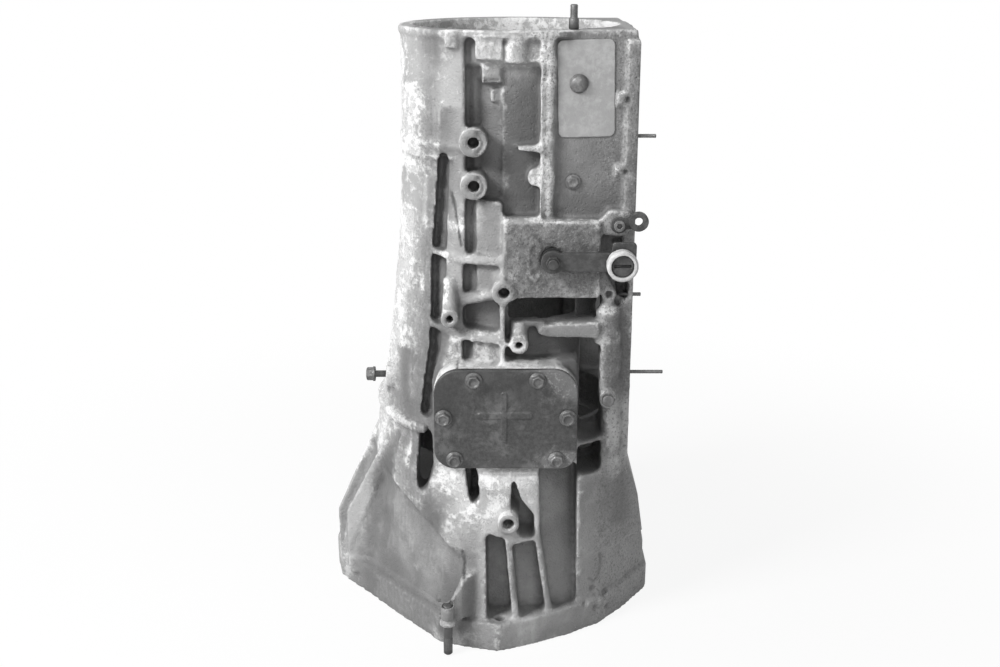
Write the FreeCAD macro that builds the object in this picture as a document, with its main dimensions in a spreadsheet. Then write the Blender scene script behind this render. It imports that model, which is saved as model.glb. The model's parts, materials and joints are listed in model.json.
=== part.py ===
# Light-alloy gearbox housing: a barrel and a bell cast in one piece, standing on the bell face,
# with its side cover, selector, studs, plugs and brackets.
# Millimetres. +Z runs up the main axis, -Y is the side with the cover and the selector,
# +X is the side with the pan rail, and the origin is the centre of the bell face.
import FreeCAD, Part
import math
import os
import re

from FreeCAD import Placement, Rotation, Vector

# Sizes
SIZES = {
    # barrel
    "case_height": 657.0,
    "rim_radius": 126.0,
    "rim_lip": 2.5,
    "rim_lip_height": 7.0,
    "flare_start": 574.0,
    "skirt_height": 184.0,
    "skirt_radius": 166.0,
    "wall": 8.0,
    "bore_radius": 98.0,
    "bore_lower_radius": 111.0,
    "bore_step": 462.0,
    "bore_floor": 196.0,
    "counterbore_radius": 111.0,
    "counterbore_depth": 30.0,
    "spline_count": 12,
    "spline_width": 14.0,
    "spline_depth": 4.0,
    "spline_length": 180.0,
    "web_height": 548.0,
    "web_thickness": 14.0,
    "web_bore": 34.0,
    # bell
    "bell_band": 33.0,
    "bell_waist": 90.0,
    "bell_cavity_radius": 146.0,
    "bell_wall": 9.0,
    "bell_bolt_radius": 5.5,
    # pan side
    "rail_face": 124.0,
    "rail_thickness": 13.0,
    "rail_bottom": 196.0,
    "panel_face": 112.0,
    "pan_bolt_radius": 3.4,
    "pan_bolt_top": 68.4,
    "pan_bolt_foot": 24.1,
    "pan_bolt_boss": 9.0,
    # selector pad
    "pad_left": -14.0,
    "pad_right": 87.0,
    "pad_bottom": 384.0,
    "pad_top": 466.0,
    "pad_face": 134.0,
    # side cover
    "cover_middle_x": -11.5,
    "cover_middle_z": 257.5,
    "cover_width": 152.5,
    "cover_height": 112.0,
    "cover_plate": 5.0,
    "cover_gasket": 0.8,
    "cover_pad_face": 155.0,
    "cover_opening_width": 100.0,
    "cover_opening_height": 68.0,
    "cover_bolt_radius": 4.76,
    # fits
    "thread_gap": 0.1,
    "hole_gap": 0.45,
    "running_gap": 0.05,
    # selector
    "shaft_radius": 7.0,
    "shaft_x": 37.0,
    "shaft_z": 426.0,
    "lever_reach": 71.0,
    "lever_thickness": 5.0,
    "lever_width": 20.0,
    "lever_hub": 12.2,
    "bushing_radius": 16.2,
    "bushing_bore": 11.7,
    "bushing_length": 14.0,
    "detent_radius": 36.0,
    "detent_thickness": 4.0,
}

doc = FreeCAD.newDocument("gearbox_housing")
sheet = doc.addObject("Spreadsheet::Sheet", "sizes")
for row, (alias, value) in enumerate(SIZES.items(), start=1):
    sheet.set("A%d" % row, alias)
    sheet.set("B%d" % row, "%s" % value)
    sheet.setAlias("B%d" % row, alias)
doc.recompute()

PARTS = []
TOWARD = {
    "up": Rotation(),
    "down": Rotation(Vector(1, 0, 0), 180),
    "front": Rotation(Vector(1, 0, 0), 90),
    "back": Rotation(Vector(1, 0, 0), -90),
    "right": Rotation(Vector(0, 1, 0), 90),
    "left": Rotation(Vector(0, 1, 0), -90),
}


# Small helpers that tie each object to the sheet
def formula(text):
    """Name the sheet before each of its values in an expression."""
    return re.sub(r"[a-z_]+", lambda m: "sizes." + m.group() if m.group() in SIZES else m.group(), text)


def bind(obj, name, value):
    """Give a property a plain number, or an expression of the sheet's values."""
    if isinstance(value, str):
        obj.setExpression(name, formula(value))
    else:
        obj.setExpression(name, "%r" % float(value))


def move(obj, at, rotation=None):
    """Place an object at three numbers or expressions."""
    obj.Placement = Placement(Vector(), rotation or Rotation())
    for axis, value in zip("xyz", at):
        bind(obj, "Placement.Base." + axis, value)
    return obj


def box(name, size, at, rotation=None):
    """A block from its corner."""
    obj = doc.addObject("Part::Box", name)
    for side, value in zip(("Length", "Width", "Height"), size):
        bind(obj, side, value)
    return move(obj, at, rotation)


def cylinder(name, radius, height, at, toward="up"):
    """A round bar from the centre of its first end."""
    obj = doc.addObject("Part::Cylinder", name)
    bind(obj, "Radius", radius)
    bind(obj, "Height", height)
    return move(obj, at, TOWARD[toward] if isinstance(toward, str) else toward)


def cone(name, first, last, height, at, toward="up"):
    """A tapered round bar from the centre of its first end."""
    obj = doc.addObject("Part::Cone", name)
    bind(obj, "Radius1", first)
    bind(obj, "Radius2", last)
    bind(obj, "Height", height)
    return move(obj, at, TOWARD[toward] if isinstance(toward, str) else toward)


def hexagon(name, across_flats, height, at, toward="up"):
    """A six-sided head or nut from the centre of its first face."""
    obj = doc.addObject("Part::Prism", name)
    obj.Polygon = 6
    bind(obj, "Circumradius", across_flats / math.sqrt(3))
    bind(obj, "Height", height)
    return move(obj, at, TOWARD[toward])


def fuse(name, pieces):
    """Join several objects into one."""
    obj = doc.addObject("Part::MultiFuse", name)
    obj.Shapes = pieces
    return obj


def cut(name, base, tools):
    """Take one or more objects away from another."""
    obj = doc.addObject("Part::Cut", name)
    obj.Base = base
    obj.Tool = tools[0] if len(tools) == 1 else fuse(name + "_tools", tools)
    return obj


def common(name, pieces):
    """Keep what two objects share."""
    obj = doc.addObject("Part::Common", name)
    obj.Base, obj.Tool = pieces
    return obj


def rounded(points, radii):
    """Straight runs joined by corner arcs, as sketch geometry."""
    count = len(points)
    corners = []
    for index, point in enumerate(points):
        radius = radii if isinstance(radii, (int, float)) else radii[index]
        here = Vector(point[0], point[1], 0)
        before = Vector(*points[index - 1], 0) - here
        after = Vector(*points[(index + 1) % count], 0) - here
        room = 0.45 * min(before.Length, after.Length)
        half = before.getAngle(after) / 2
        reach = min(radius / math.tan(half), room)
        if radius <= 0:
            corners.append((here, None, here))
            continue
        radius = reach * math.tan(half)
        start = here + before.normalize() * reach
        end = here + after.normalize() * reach
        centre = here + (before + after).normalize() * (radius / math.sin(half))
        turn = (start - centre).cross(end - centre).z
        first, last = (start, end) if turn > 0 else (end, start)
        angles = [math.atan2((p - centre).y, (p - centre).x) for p in (first, last)]
        circle = Part.Circle(centre, Vector(0, 0, 1), radius)
        corners.append((start, Part.ArcOfCircle(circle, angles[0], angles[1]), end))
    runs = []
    for index, (start, arc, end) in enumerate(corners):
        if arc:
            runs.append(arc)
        following = corners[(index + 1) % count][0]
        if (following - end).Length > 1e-6:
            runs.append(Part.LineSegment(end, following))
    return runs


def sketch(name, geometry, at=(0, 0, 0), rotation=None):
    """A flat outline."""
    obj = doc.addObject("Sketcher::SketchObject", name)
    obj.addGeometry(geometry, False)
    return move(obj, at, rotation)


def turned(name, geometry):
    """A form turned about the main axis from an outline of radius and height."""
    profile = sketch(name + "_profile", geometry, rotation=TOWARD["front"])
    obj = doc.addObject("Part::Revolution", name)
    obj.Source = profile
    obj.Axis = Vector(0, 0, 1)
    obj.Angle = 360
    obj.Solid = True
    return obj


def extruded(name, geometry, depth, at=(0, 0, 0), rotation=None):
    """A plate or block pushed out from an outline along the outline's own normal."""
    profile = sketch(name + "_outline", geometry, at, rotation)
    obj = doc.addObject("Part::Extrusion", name)
    obj.Base = profile
    obj.DirMode = "Normal"
    bind(obj, "LengthFwd", depth)
    obj.Solid = True
    return obj


def fin(name, start, end, profile, thickness):
    """An upright web over the line from start to end in plan; profile gives run and height."""
    run = math.hypot(end[0] - start[0], end[1] - start[1])
    angle = math.degrees(math.atan2(end[1] - start[1], end[0] - start[0]))
    rotation = Rotation(Vector(0, 0, 1), angle).multiply(TOWARD["front"])
    across = Vector(-(end[1] - start[1]), end[0] - start[0], 0).multiply(thickness / 2 / run)
    points = [(share * run, height) for share, height in profile]
    return extruded(name, rounded(points, 0), thickness,
                    (start[0] + across.x, start[1] + across.y, 0), rotation)


def part(name, obj):
    """Name a finished piece; its label names its file."""
    obj.Label = name
    PARTS.append((name, obj))
    return obj


def group(name, pieces):
    """Several like pieces that share one name and stay separate solids."""
    obj = doc.addObject("Part::Compound", name + "_group")
    obj.Links = pieces
    return part(name, obj)


# Values worked out from the sizes
case_height = SIZES["case_height"]
rim_radius = SIZES["rim_radius"]
flare_start = SIZES["flare_start"]
skirt_height = SIZES["skirt_height"]
skirt_radius = SIZES["skirt_radius"]
wall = SIZES["wall"]
bore_radius = SIZES["bore_radius"]
bore_lower_radius = SIZES["bore_lower_radius"]
bore_step = SIZES["bore_step"]
bore_floor = SIZES["bore_floor"]
bell_band = SIZES["bell_band"]
bell_waist = SIZES["bell_waist"]
cavity_radius = SIZES["bell_cavity_radius"]
counterbore_radius = SIZES["counterbore_radius"]
counterbore_floor = case_height - SIZES["counterbore_depth"]
bell_wall = SIZES["bell_wall"]
rail_face = SIZES["rail_face"]
panel_face = SIZES["panel_face"]
flare_widening = skirt_radius - rim_radius
flare_drop = flare_start - skirt_height
flare_radius = (flare_drop ** 2 + flare_widening ** 2) / (2 * flare_widening)


def skin_radius(height):
    """The barrel's outer radius at a height."""
    drop = min(max(flare_start - height, 0), flare_drop)
    return rim_radius + flare_radius - math.sqrt(flare_radius ** 2 - drop ** 2)


def flare_arc(offset):
    """The barrel's flare, moved inward by an offset."""
    centre = Vector(rim_radius + flare_radius - offset, flare_start, 0)
    sweep = math.asin(flare_drop / flare_radius)
    return Part.ArcOfCircle(Part.Circle(centre, Vector(0, 0, 1), flare_radius), math.pi, math.pi + sweep)


def line(first, last):
    """A straight run of an outline."""
    return Part.LineSegment(Vector(first[0], first[1], 0), Vector(last[0], last[1], 0))


def chain(points):
    """Straight runs through points, closed at the end."""
    return [line(points[index - 1], point) for index, point in enumerate(points)]


def barrel_form(name, depth):
    """The straight neck that flares down into the bell, at a depth under its skin."""
    neck, foot = rim_radius - depth, skirt_radius - depth
    return turned(name, [
        line((0, case_height), (neck, case_height)),
        line((neck, case_height), (neck, flare_start)),
        flare_arc(depth),
        line((foot, skirt_height), (foot + 4, bell_waist)),
        line((foot + 4, bell_waist), (0, bell_waist)),
        line((0, bell_waist), (0, case_height)),
    ])


# Barrel, its rim and the raised line round its neck
RIB_STAND = 2.5
barrel = barrel_form("barrel", 0)
barrel_proud = barrel_form("barrel_proud", -RIB_STAND)
rim_lip = cylinder("rim_ring", "rim_radius + rim_lip", "rim_lip_height", (0, 0, "case_height - rim_lip_height"))
girdle = cylinder("girdle", "rim_radius + rim_lip", 4.5, (0, 0, "web_height - 10.5"))

# Bell: a many-sided flange outline, drawn in to the barrel
FLANGE = [
    (-222, 22), (-212, -26), (-86, -178), (-58, -189), (-20, -199), (12, -187), (52, -167), (97, -138),
    (128, -100), (158, -56), (158, 62), (116, 122), (44, 190), (-14, 198), (-96, 168), (-172, 112),
]


def drawn_in(share, limit):
    """The flange outline with each corner moved toward a circle inside it."""
    corners = []
    for x, y in FLANGE:
        reach = math.hypot(x, y)
        new_reach = limit + (reach - limit) * share
        corners.append((x * new_reach / reach, y * new_reach / reach))
    return corners


def bell_form(name, inset, floor_height):
    """The bell between its face and the barrel, moved inward by an inset."""
    flange = [(x * (1 - inset / math.hypot(x, y)), y * (1 - inset / math.hypot(x, y))) for x, y in FLANGE]
    waist = drawn_in(0.8, skirt_radius)
    waist = [(x * (1 - inset / math.hypot(x, y)), y * (1 - inset / math.hypot(x, y))) for x, y in waist]
    top = [(x * (1 - inset / math.hypot(x, y)), y * (1 - inset / math.hypot(x, y)))
           for x, y in drawn_in(0, skirt_radius - 2)]
    sections = [
        sketch(name + "_foot", rounded(flange, 12), (0, 0, floor_height)),
        sketch(name + "_waist", rounded(waist, 16), (0, 0, bell_waist)),
        sketch(name + "_top", rounded(top, 40), (0, 0, skirt_height + 14 - inset)),
    ]
    obj = doc.addObject("Part::Loft", name)
    obj.Sections = sections
    obj.Solid = True
    obj.Ruled = True
    return obj


bell_skin = bell_form("bell_skin", 5, bell_band)
band = extruded("band", rounded(FLANGE, 14), "bell_band")

# Pan side: a straight-walled box that carries the flat panel and the pan rail
pan_box = box("pan_box", ("rail_face - 2", "2 * panel_face - 6", "case_height - bore_floor"),
              (0, "-panel_face", "bore_floor"))
pan_rail = box("pan_rail", ("rail_thickness", "2 * panel_face + 12", "case_height - rail_bottom - 10"),
               ("rail_face - rail_thickness", "-panel_face - 6", "rail_bottom"))
envelope = fuse("envelope", [barrel, rim_lip, girdle, bell_skin, band, pan_box, pan_rail])

# Core: the wall that stays behind every pocket
core = turned("core", chain([
    (0, 0), (cavity_radius + bell_wall, 0), (cavity_radius + bell_wall, 40),
    (bore_lower_radius + wall, skirt_height + 20), (bore_lower_radius + wall, bore_step),
    (bore_radius + wall, bore_step + 6), (bore_radius + wall, counterbore_floor - wall),
    (counterbore_radius + 5, counterbore_floor - 3), (counterbore_radius + 5, case_height), (0, case_height),
]))


def pocket(name, points, floor=60.0, corner=5.0):
    """A block of space in front of the wall, from an outline of across and height."""
    return extruded(name, rounded(points, corner), 240.0 - floor, (0, -floor, 0), TOWARD["front"])


def facing(name, points, front, back, corner=0.0):
    """A form with an upright outline, between two planes that face the front."""
    return extruded(name, rounded(points, corner), "%s - (%s)" % (front, back), (0, "-(%s)" % back, 0),
                    TOWARD["front"])


# Pockets of the front: those that reach the wall, and those of an even depth under the skin
WALL_POCKETS = {
    "deep_recess": [(-53, 484), (-15, 484), (-15, 468), (24, 468), (24, case_height - 7),
                    (-53, case_height - 7)],
    "window_left": [(-57, 350), (-17, 346), (-17, 388), (-57, 372)],
    "window_main": [(-13, 316), (66, 316), (66, 188), (93, 188), (93, 384), (-13, 384)],
    "rail_window": [(104, 401), (119, 399), (119, 375), (107, 383)],
    "slot_left": [(-105, 234), (-91, 230), (-90, 190), (-98, 166), (-106, 157), (-110, 172)],
    "slot_middle": [(-56, 201), (-52, 170), (-48, 156), (-39, 166), (-41, 190), (-44, 201)],
    "slot_right": [(-5, 202), (6, 166), (21, 147), (21, 122), (2, 126), (-6, 150)],
    "bay_left": [(-32, 33), (-4, 33), (-10, 124), (-33, 130)],
    "bay_middle": [(3, 33), (34, 33), (21, 120), (-5, 118)],
    "bay_right": [(40, 33), (68, 33), (66, 203), (23, 203), (26, 120)],
}
GROOVES = {
    "groove_left": [(-81, 531), (-70, 531), (-75, 400), (-82, 322), (-91, 286), (-91, 244), (-105, 244), (-99, 290),
                    (-94, 322), (-92, 365), (-90, 426)],
    "strip_upper": [(-54, 428), (-42, 428), (-42, 488), (-54, 488)],
    "strip_middle": [(-57, 379), (-42, 384), (-42, 421), (-56, 421)],
    "strip_lower": [(-58, 309), (-46, 309), (-46, 338), (-58, 338)],
}
SHALLOWS = {
    "face_upper": [(-43, 428), (-15, 428), (-15, 488), (-43, 488)],
    "face_middle": [(-43, 384), (-17, 394), (-17, 420), (-43, 420)],
    "face_lower": [(-47, 309), (-17, 309), (-17, 335), (-47, 337)],
}
GROOVE_DEPTH = 13.0
SHALLOW_DEPTH = 7.0
pocket_tool = cut("pocket_space", fuse("pockets", [pocket(name, points) for name, points in WALL_POCKETS.items()]),
                  [core])
groove_tool = cut("groove_space", fuse("grooves", [pocket(name, points) for name, points in GROOVES.items()]),
                  [barrel_form("under_grooves", GROOVE_DEPTH)])
shallow_tool = cut("shallow_space", fuse("shallows", [pocket(name, points) for name, points in SHALLOWS.items()]),
                   [barrel_form("under_shallows", SHALLOW_DEPTH)])
panel_cut = box("panel_cut",
                ("rail_face - rail_thickness - 26", 120, "case_height - rim_lip_height - pad_top + 4"),
                (26, "-panel_face - 120", "pad_top - 4"))
slope = [(rail_face, case_height + 10), (rail_face, 192), (140, 140), (150, 75), (158.5, 33), (158.5, -10),
         (300, -10), (300, case_height + 10)]
pan_plane = extruded("pan_plane", rounded(slope, 0), 600, (0, 300, 0), TOWARD["front"])
cover_cut = box("cover_cut", ("cover_width + 16", 90, "cover_height + 16"),
                ("cover_middle_x - cover_width / 2 - 8", "-cover_pad_face - 90",
                 "cover_middle_z - cover_height / 2 - 8"))
skin_blank = cut("skin_blank", envelope, [pocket_tool, panel_cut, pan_plane, cover_cut])
skin = cut("skin", cut("skin_grooved", skin_blank, [groove_tool]), [shallow_tool])

# Ribs of the bell end flush with the skin, and those of the barrel stand a little out of it
BELL_RIBS = {
    "bell_rib_left": [(-37, 28), (-32, 28), (-34, 140), (-39, 140)],
    "bell_rib_middle": [(-3, 28), (3, 28), (-6, 125), (-8, 205), (-14, 205), (-12, 125)],
    "bell_rib_right": [(34, 28), (40, 28), (26, 125), (24, 205), (18, 205), (20, 125)],
}
BARREL_RIBS = {
    "rib_upper": [(-90, 424), (-55, 419), (-14, 418), (-14, 423), (-55, 424), (-90, 430)],
    "rib_lower": [(-93, 345), (-60, 338), (-16, 335), (-16, 341), (-60, 345), (-93, 351)],
    "rib_middle": [(-17.5, 309), (-12.5, 309), (-12.5, 421), (-17.5, 421)],
    "rib_small": [(-3, 539.5), (28, 536), (28, 543), (-3, 541)],
    "rib_side": [(60, 220), (96, 222), (96, 227), (60, 225)],
}


def ribs_within(name, outlines, form):
    """Upright slabs from their outlines, kept inside a form and clear of the side cover."""
    slabs = fuse(name + "_slabs", [facing(rib, points, 230.0, 60.0) for rib, points in outlines.items()])
    return cut(name, common(name + "_blank", [slabs, form]), [cover_cut])


bell_ribs = ribs_within("bell_ribs", BELL_RIBS, envelope)
barrel_ribs = ribs_within("barrel_ribs", BARREL_RIBS, barrel_proud)


def spindle(name, x, y, outline):
    """A cast column about its own upright line, from pairs of height and radius."""
    corners = [(0, outline[0][0])] + [(radius, height) for height, radius in outline] + [(0, outline[-1][0])]
    return move(turned(name, chain(corners)), (x, y, 0))


def tail(name, x, y, z, first, last, length, lean, sideways=0.0):
    """The tapered stem that runs up and back from a boss into the wall."""
    rotation = Rotation(Vector(0, 1, 0), sideways).multiply(Rotation(Vector(1, 0, 0), -lean))
    return cone(name, first, last, length, (x, y, z), rotation)


# Forms that stand out from the skin
cover_x = SIZES["cover_middle_x"]
cover_z = SIZES["cover_middle_z"]
half_width = SIZES["cover_width"] / 2
half_height = SIZES["cover_height"] / 2
COVER = [(cover_x - half_width, cover_z - half_height), (cover_x + half_width, cover_z - half_height),
         (cover_x + half_width, cover_z + half_height), (cover_x - half_width, cover_z + half_height)]
COVER_CORNERS = (22.0, 18.0, 26.0, 28.0)
cover_pad = facing("cover_pad", COVER, "cover_pad_face", 70.0, COVER_CORNERS)
pad_left, pad_right = SIZES["pad_left"], SIZES["pad_right"]
pad_bottom, pad_top = SIZES["pad_bottom"], SIZES["pad_top"]
selector_pad = facing("selector_pad", [
    (pad_left, pad_bottom + 34), (pad_left + 19, pad_bottom + 14), (pad_left + 26, pad_bottom),
    (pad_right, pad_bottom), (pad_right, pad_top), (pad_left, pad_top),
], "pad_face", 80.0, 3.0)
rim_foot = case_height - SIZES["rim_lip_height"]
LUG_FACE = 129.0
FOOT_STUD_PLACE = (-74, -203)
STANDING = [
    cover_pad,
    selector_pad,
    spindle("corner_column", 31, -113.5, [
        (pad_top - 14, 5), (pad_top, 7.5), (pad_top + 28, 7), (pad_top + 38, 9), (pad_top + 58, 8.5),
        (pad_top + 68, 7), (pad_top + 84, 8.5), (pad_top + 96, 7), (rim_foot - 50, 7), (rim_foot - 42, 8),
        (rim_foot - 34, 7), (rim_foot - 22, 8.2), (rim_foot + 3, 7.7),
    ]),
    cylinder("rim_boss", 12.4, 32, (0, -113, "case_height - 32")),
    cylinder("rim_lug", 8.5, 18, (-65, -108, "case_height - 18")),
    box("rim_pad", (27, 30, 25), (-42.5, -119, "case_height - 29")),
    box("rim_block", (20, 26, 28), (10, -119, "case_height - 31")),
    box("rim_web", (19, 18, 24), (-35.5, -110, "case_height - 52")),
    box("rim_crumb", (9, 12, 12), (-26, -107, "case_height - 72")),
    cylinder("column_lump", 10, 26, (21, -92, "pad_top + 43"), "front"),
    facing("cross_bar", [(19, 346), (31, 341), (88, 339), (88, 357), (30, 354)], 133.0, 90.0, 3.0),
    facing("bar_strut", [(-2, 346), (8, 362), (26, 362), (32, 352), (14, 350)], 128.0, 92.0, 2.0),
    spindle("tube_upper", 97.5, -120, [
        (276, 9), (288, 13), (300, 15.5), (322, 16), (338, 15.5), (350, 12), (360, 12), (367, 13),
        (375, 7), (392, 6),
    ]),
    spindle("tube_lower", 104, -120, [
        (172, 8), (180, 12.5), (200, 12.5), (216, 10.5), (236, 11.5), (250, 10.5), (264, 12), (280, 12), (292, 9),
    ]),
    facing("bracket_lug", [(90, 451), (112, 449), (119, 458), (118, 475), (96, 477), (88, 467)],
           LUG_FACE, 96.0, 4.0),
    fin("strut", (-58, -112), (-14, -122), [(0, 372), (1, 382), (1, 393), (0, 386)], 18),
    fin("foot_web", FOOT_STUD_PLACE, (-34, -168), [(0, 40), (1, 34), (1, 93), (0.35, 85), (0, 60)], 9),
    cylinder("foot_ear", 9, 26, FOOT_STUD_PLACE + (36,)),
    fin("cone_rib_one", (-120, -15), (-216, -13), [(0, 190), (0.4, 208), (0.98, 84), (0.98, 20), (0, 20)], 8),
    fin("cone_rib_two", (-110, -80), (-200, -52), [(0, 206), (0.3, 220), (0.98, 100), (0.98, 20), (0, 20)], 8),
    cylinder("side_boss", 14, 50, (-96, -60, 274), "left"),
    tail("boss_left_stem", -70.4, -130, 362, 9.3, 7.5, 42, 25),
    tail("boss_middle_stem", 2.6, -131, 335, 10, 8.5, 27, 20),
    tail("boss_centre_stem", -13.3, -125, 390, 12.6, 7, 26, 12, -6),
    tail("boss_right_stem", 97.5, -119, 386, 7.4, 6.5, 26, 6, -24),
    tail("boss_plug_stem", 98.6, -128, 272, 9.6, 8.5, 20, 14),
]
collar = common("collar", [
    cylinder("collar_ring", skin_radius(232) + 5, 10, (0, 0, 227)),
    box("collar_half", (100, 400, 20), (-200, -200, 220)),
])

# Bosses that face the front: across, height, outer radius, hole radius, face, depth of the body
BOSSES = {
    "boss_upper": (-44.9, 545.5, 14.6, 6.4, 126.0, 40.0),
    "boss_second": (-44.5, 500.6, 14.0, 6.4, 126.0, 40.0),
    "boss_centre": (-13.3, 390.1, 12.8, 6.3, 139.0, 45.0),
    "boss_left": (-70.4, 363.1, 9.3, 4.4, 143.0, 60.0),
    "boss_middle": (2.6, 334.6, 10.0, 4.2, 143.0, 48.0),
    "boss_right": (97.8, 386.1, 7.4, 3.2, 127.0, 30.0),
    "boss_low": (-8.4, 144.4, 11.3, 6.6, 182.0, 60.0),
    "boss_plug": (98.6, 271.7, 9.8, 5.2, 139.0, 30.0),
}
bosses = [cylinder(name, outer, depth, (x, depth - face, z), "front")
          for name, (x, z, outer, hole, face, depth) in BOSSES.items()]
boss_holes = [cylinder(name + "_hole", hole, 24, (x, 22 - face, z), "front")
              for name, (x, z, outer, hole, face, depth) in BOSSES.items()]

# Pan-rail bolt places, down both long sides
RAIL_STEPS = 5
LOWER_STUD_STEP = 4
rail_top = case_height - SIZES["pan_bolt_top"]
rail_pitch = (rail_top - SIZES["rail_bottom"] - SIZES["pan_bolt_foot"]) / RAIL_STEPS
RAIL_HEIGHTS = [rail_top - rail_pitch * step for step in range(RAIL_STEPS + 1)]
rail_line = panel_face - 3
rail_bosses = []
rail_holes = []
for number, height in enumerate(RAIL_HEIGHTS):
    for side, across in (("front", -rail_line), ("back", rail_line)):
        if number < 2 or side == "back":
            rail_bosses.append(cylinder("rail_boss_%s_%d" % (side, number), "pan_bolt_boss", 23,
                                        ("rail_face - 23", across, height), "right"))
        if (number, side) != (LOWER_STUD_STEP, "front"):
            rail_holes.append(cylinder("rail_hole_%s_%d" % (side, number), "pan_bolt_radius", 25,
                                       ("rail_face - 24", across, height), "right"))

STUDS = {"upper": (550.8, 19.0), "middle": (381.8, 9.0), "lower": (RAIL_HEIGHTS[LOWER_STUD_STEP], 36.0)}
STUD_RADIUS = 2.1
stud_line = rail_line
stud_holes = [cylinder("stud_hole_" + name, STUD_RADIUS + SIZES["thread_gap"], 20,
                       ("rail_face - 19", -stud_line, height), "right") for name, (height, out) in STUDS.items()]

solid_case = fuse("solid_case", [skin, bell_ribs, barrel_ribs, collar] + STANDING + bosses + rail_bosses)

# Hollows: bore with splines, counterbore, bell cavity, pan window, selector chamber
CHAMBER_WALL = 93.0
RIM_BOLT_CIRCLE = 118.5
RIM_ANGLES = [-90.8 + 60 * step for step in range(6)]
REAR_STUD_RADIUS = 116.5
REAR_STUD_ANGLE = math.radians(-60.8)
rim_places = [(RIM_BOLT_CIRCLE * math.cos(math.radians(a)), RIM_BOLT_CIRCLE * math.sin(math.radians(a)))
              for a in RIM_ANGLES]
bore_space = turned("bore_space", chain([
    (0, bore_floor - 90), (bore_lower_radius, bore_floor - 90), (bore_lower_radius, bore_step - 2),
    (bore_radius, bore_step + 4), (bore_radius, SIZES["web_height"]),
    (SIZES["web_bore"], SIZES["web_height"]),
    (SIZES["web_bore"], SIZES["web_height"] + SIZES["web_thickness"]),
    (bore_radius, SIZES["web_height"] + SIZES["web_thickness"]),
    (bore_radius, counterbore_floor), (counterbore_radius, counterbore_floor),
    (counterbore_radius, case_height + 5), (0, case_height + 5),
]))
bell_space = turned("bell_space", chain([
    (0, -5), (cavity_radius, -5), (cavity_radius, 40), (bore_lower_radius - 1, skirt_height + 12),
    (0, skirt_height + 12),
]))
BELL_HOLES = [(-205, 4), (-82, -161), (-17, -183), (84, -132), (145, -48), (146, 52), (70, 150), (17, 183),
              (-60, 165), (-164, 94)]
BACK_HOLE = BELL_HOLES[7]
SPOT_FACE = 11.0
bell_room = common("bell_room", [
    bell_form("bell_hollow", 5 + bell_wall, 20),
    fuse("bell_inner_room", [box("room_left", (220, 460, 220), (-270, -230, 20)),
                             box("room_back", (190, 180, 220), (-60, 62, 20))]),
])
bell_inner = cut("bell_inner", bell_room, [cylinder("spot_boss", SPOT_FACE + 7, 120, BACK_HOLE + (10,))])
flare_room = common("flare_room", [
    barrel_form("flare_room_form", 10),
    fuse("flare_room_halves", [box("flare_back", (260, 180, 230), (-200, 24, 196)),
                               box("flare_left", (92, 90, 230), (-200, -56, 196))]),
])
MOUTH_SHARE = 0.885
bell_mouth = common("bell_mouth", [
    extruded("bell_mouth_form", rounded([(x * MOUTH_SHARE, y * MOUTH_SHARE) for x, y in FLANGE], 12), 26,
             (0, 0, -5)),
    fuse("bell_mouth_room", [box("mouth_left", (220, 460, 40), (-270, -230, -10)),
                             box("mouth_back", (190, 180, 40), (-60, 62, -10))]),
])
splines = []
for step in range(SIZES["spline_count"]):
    angle = 360.0 * step / SIZES["spline_count"] + 15
    if abs((angle + 180) % 360 - 180) < 50 or 290 < angle < 310:
        continue
    turn = math.radians(angle)
    reach = bore_lower_radius + SIZES["spline_depth"]
    slot = box("spline_%d" % step, (reach, "spline_width", "spline_length"),
               (math.sin(turn) * SIZES["spline_width"] / 2, -math.cos(turn) * SIZES["spline_width"] / 2,
                "bore_step - spline_length - 20"), Rotation(Vector(0, 0, 1), angle))
    splines.append(slot)
pan_window = box("pan_window", (80, 156, 372), ("rail_face - 70", -78, 232))
chamber = box("selector_chamber", ("rail_face", 60, 140), (6, -CHAMBER_WALL, 390))
shaft_x, shaft_z = SIZES["shaft_x"], SIZES["shaft_z"]
PIN_RADIUS = 2.0
pin_x = shaft_x + 5.3 + PIN_RADIUS + 0.3
SEAL_RADIUS = 12.0
SHAFT_SHOULDER = SIZES["pad_face"] + 8.0
openings = [
    pan_window, chamber,
    box("gear_window", (72, 70, 25), (-9, -160, 357)),
    box("side_window", (20, 90, 100), (70, -160, 232)),
    box("foot_window", (20, 90, 26), (71, -160, 192)),
    box("cover_opening", ("cover_opening_width", 90, "cover_opening_height"),
        ("cover_middle_x - cover_opening_width / 2", -160, "cover_middle_z - cover_opening_height / 2")),
]
PLATE_X = 62.5
plate_z = case_height - 52.8
rear_x = REAR_STUD_RADIUS * math.cos(REAR_STUD_ANGLE)
rear_y = REAR_STUD_RADIUS * math.sin(REAR_STUD_ANGLE)
holes = [
    cylinder("shaft_bore", "shaft_radius + running_gap", 60, ("shaft_x", -80, "shaft_z"), "front"),
    cylinder("seal_seat", SEAL_RADIUS + 0.05, 10, ("shaft_x", "-pad_face + 6", "shaft_z"), "front"),
    cylinder("pin_hole", PIN_RADIUS + 0.05, 80, (pin_x, -115, 404)),
    cylinder("plate_bolt_hole", 3.1, 20, (PLATE_X, -95, plate_z), "front"),
    cylinder("plug_hole", 5.1, 20, (58.3, -95, 503.5), "front"),
    cylinder("bracket_bolt_hole", 3.1, 26, (105.6, -105, 462), "front"),
    cylinder("side_bolt_hole", 3.9, 26, (-122, -60, 274), "left"),
    cylinder("foot_stud_hole", 5.1, 30, FOOT_STUD_PLACE + (34,)),
    cylinder("rear_stud_hole", 3.6, 24, (rear_x, rear_y, "case_height - 20")),
    cylinder("detent_bolt_hole", 3.1, 20, (shaft_x, -88, 506), "front"),
] + boss_holes + rail_holes + stud_holes
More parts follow.
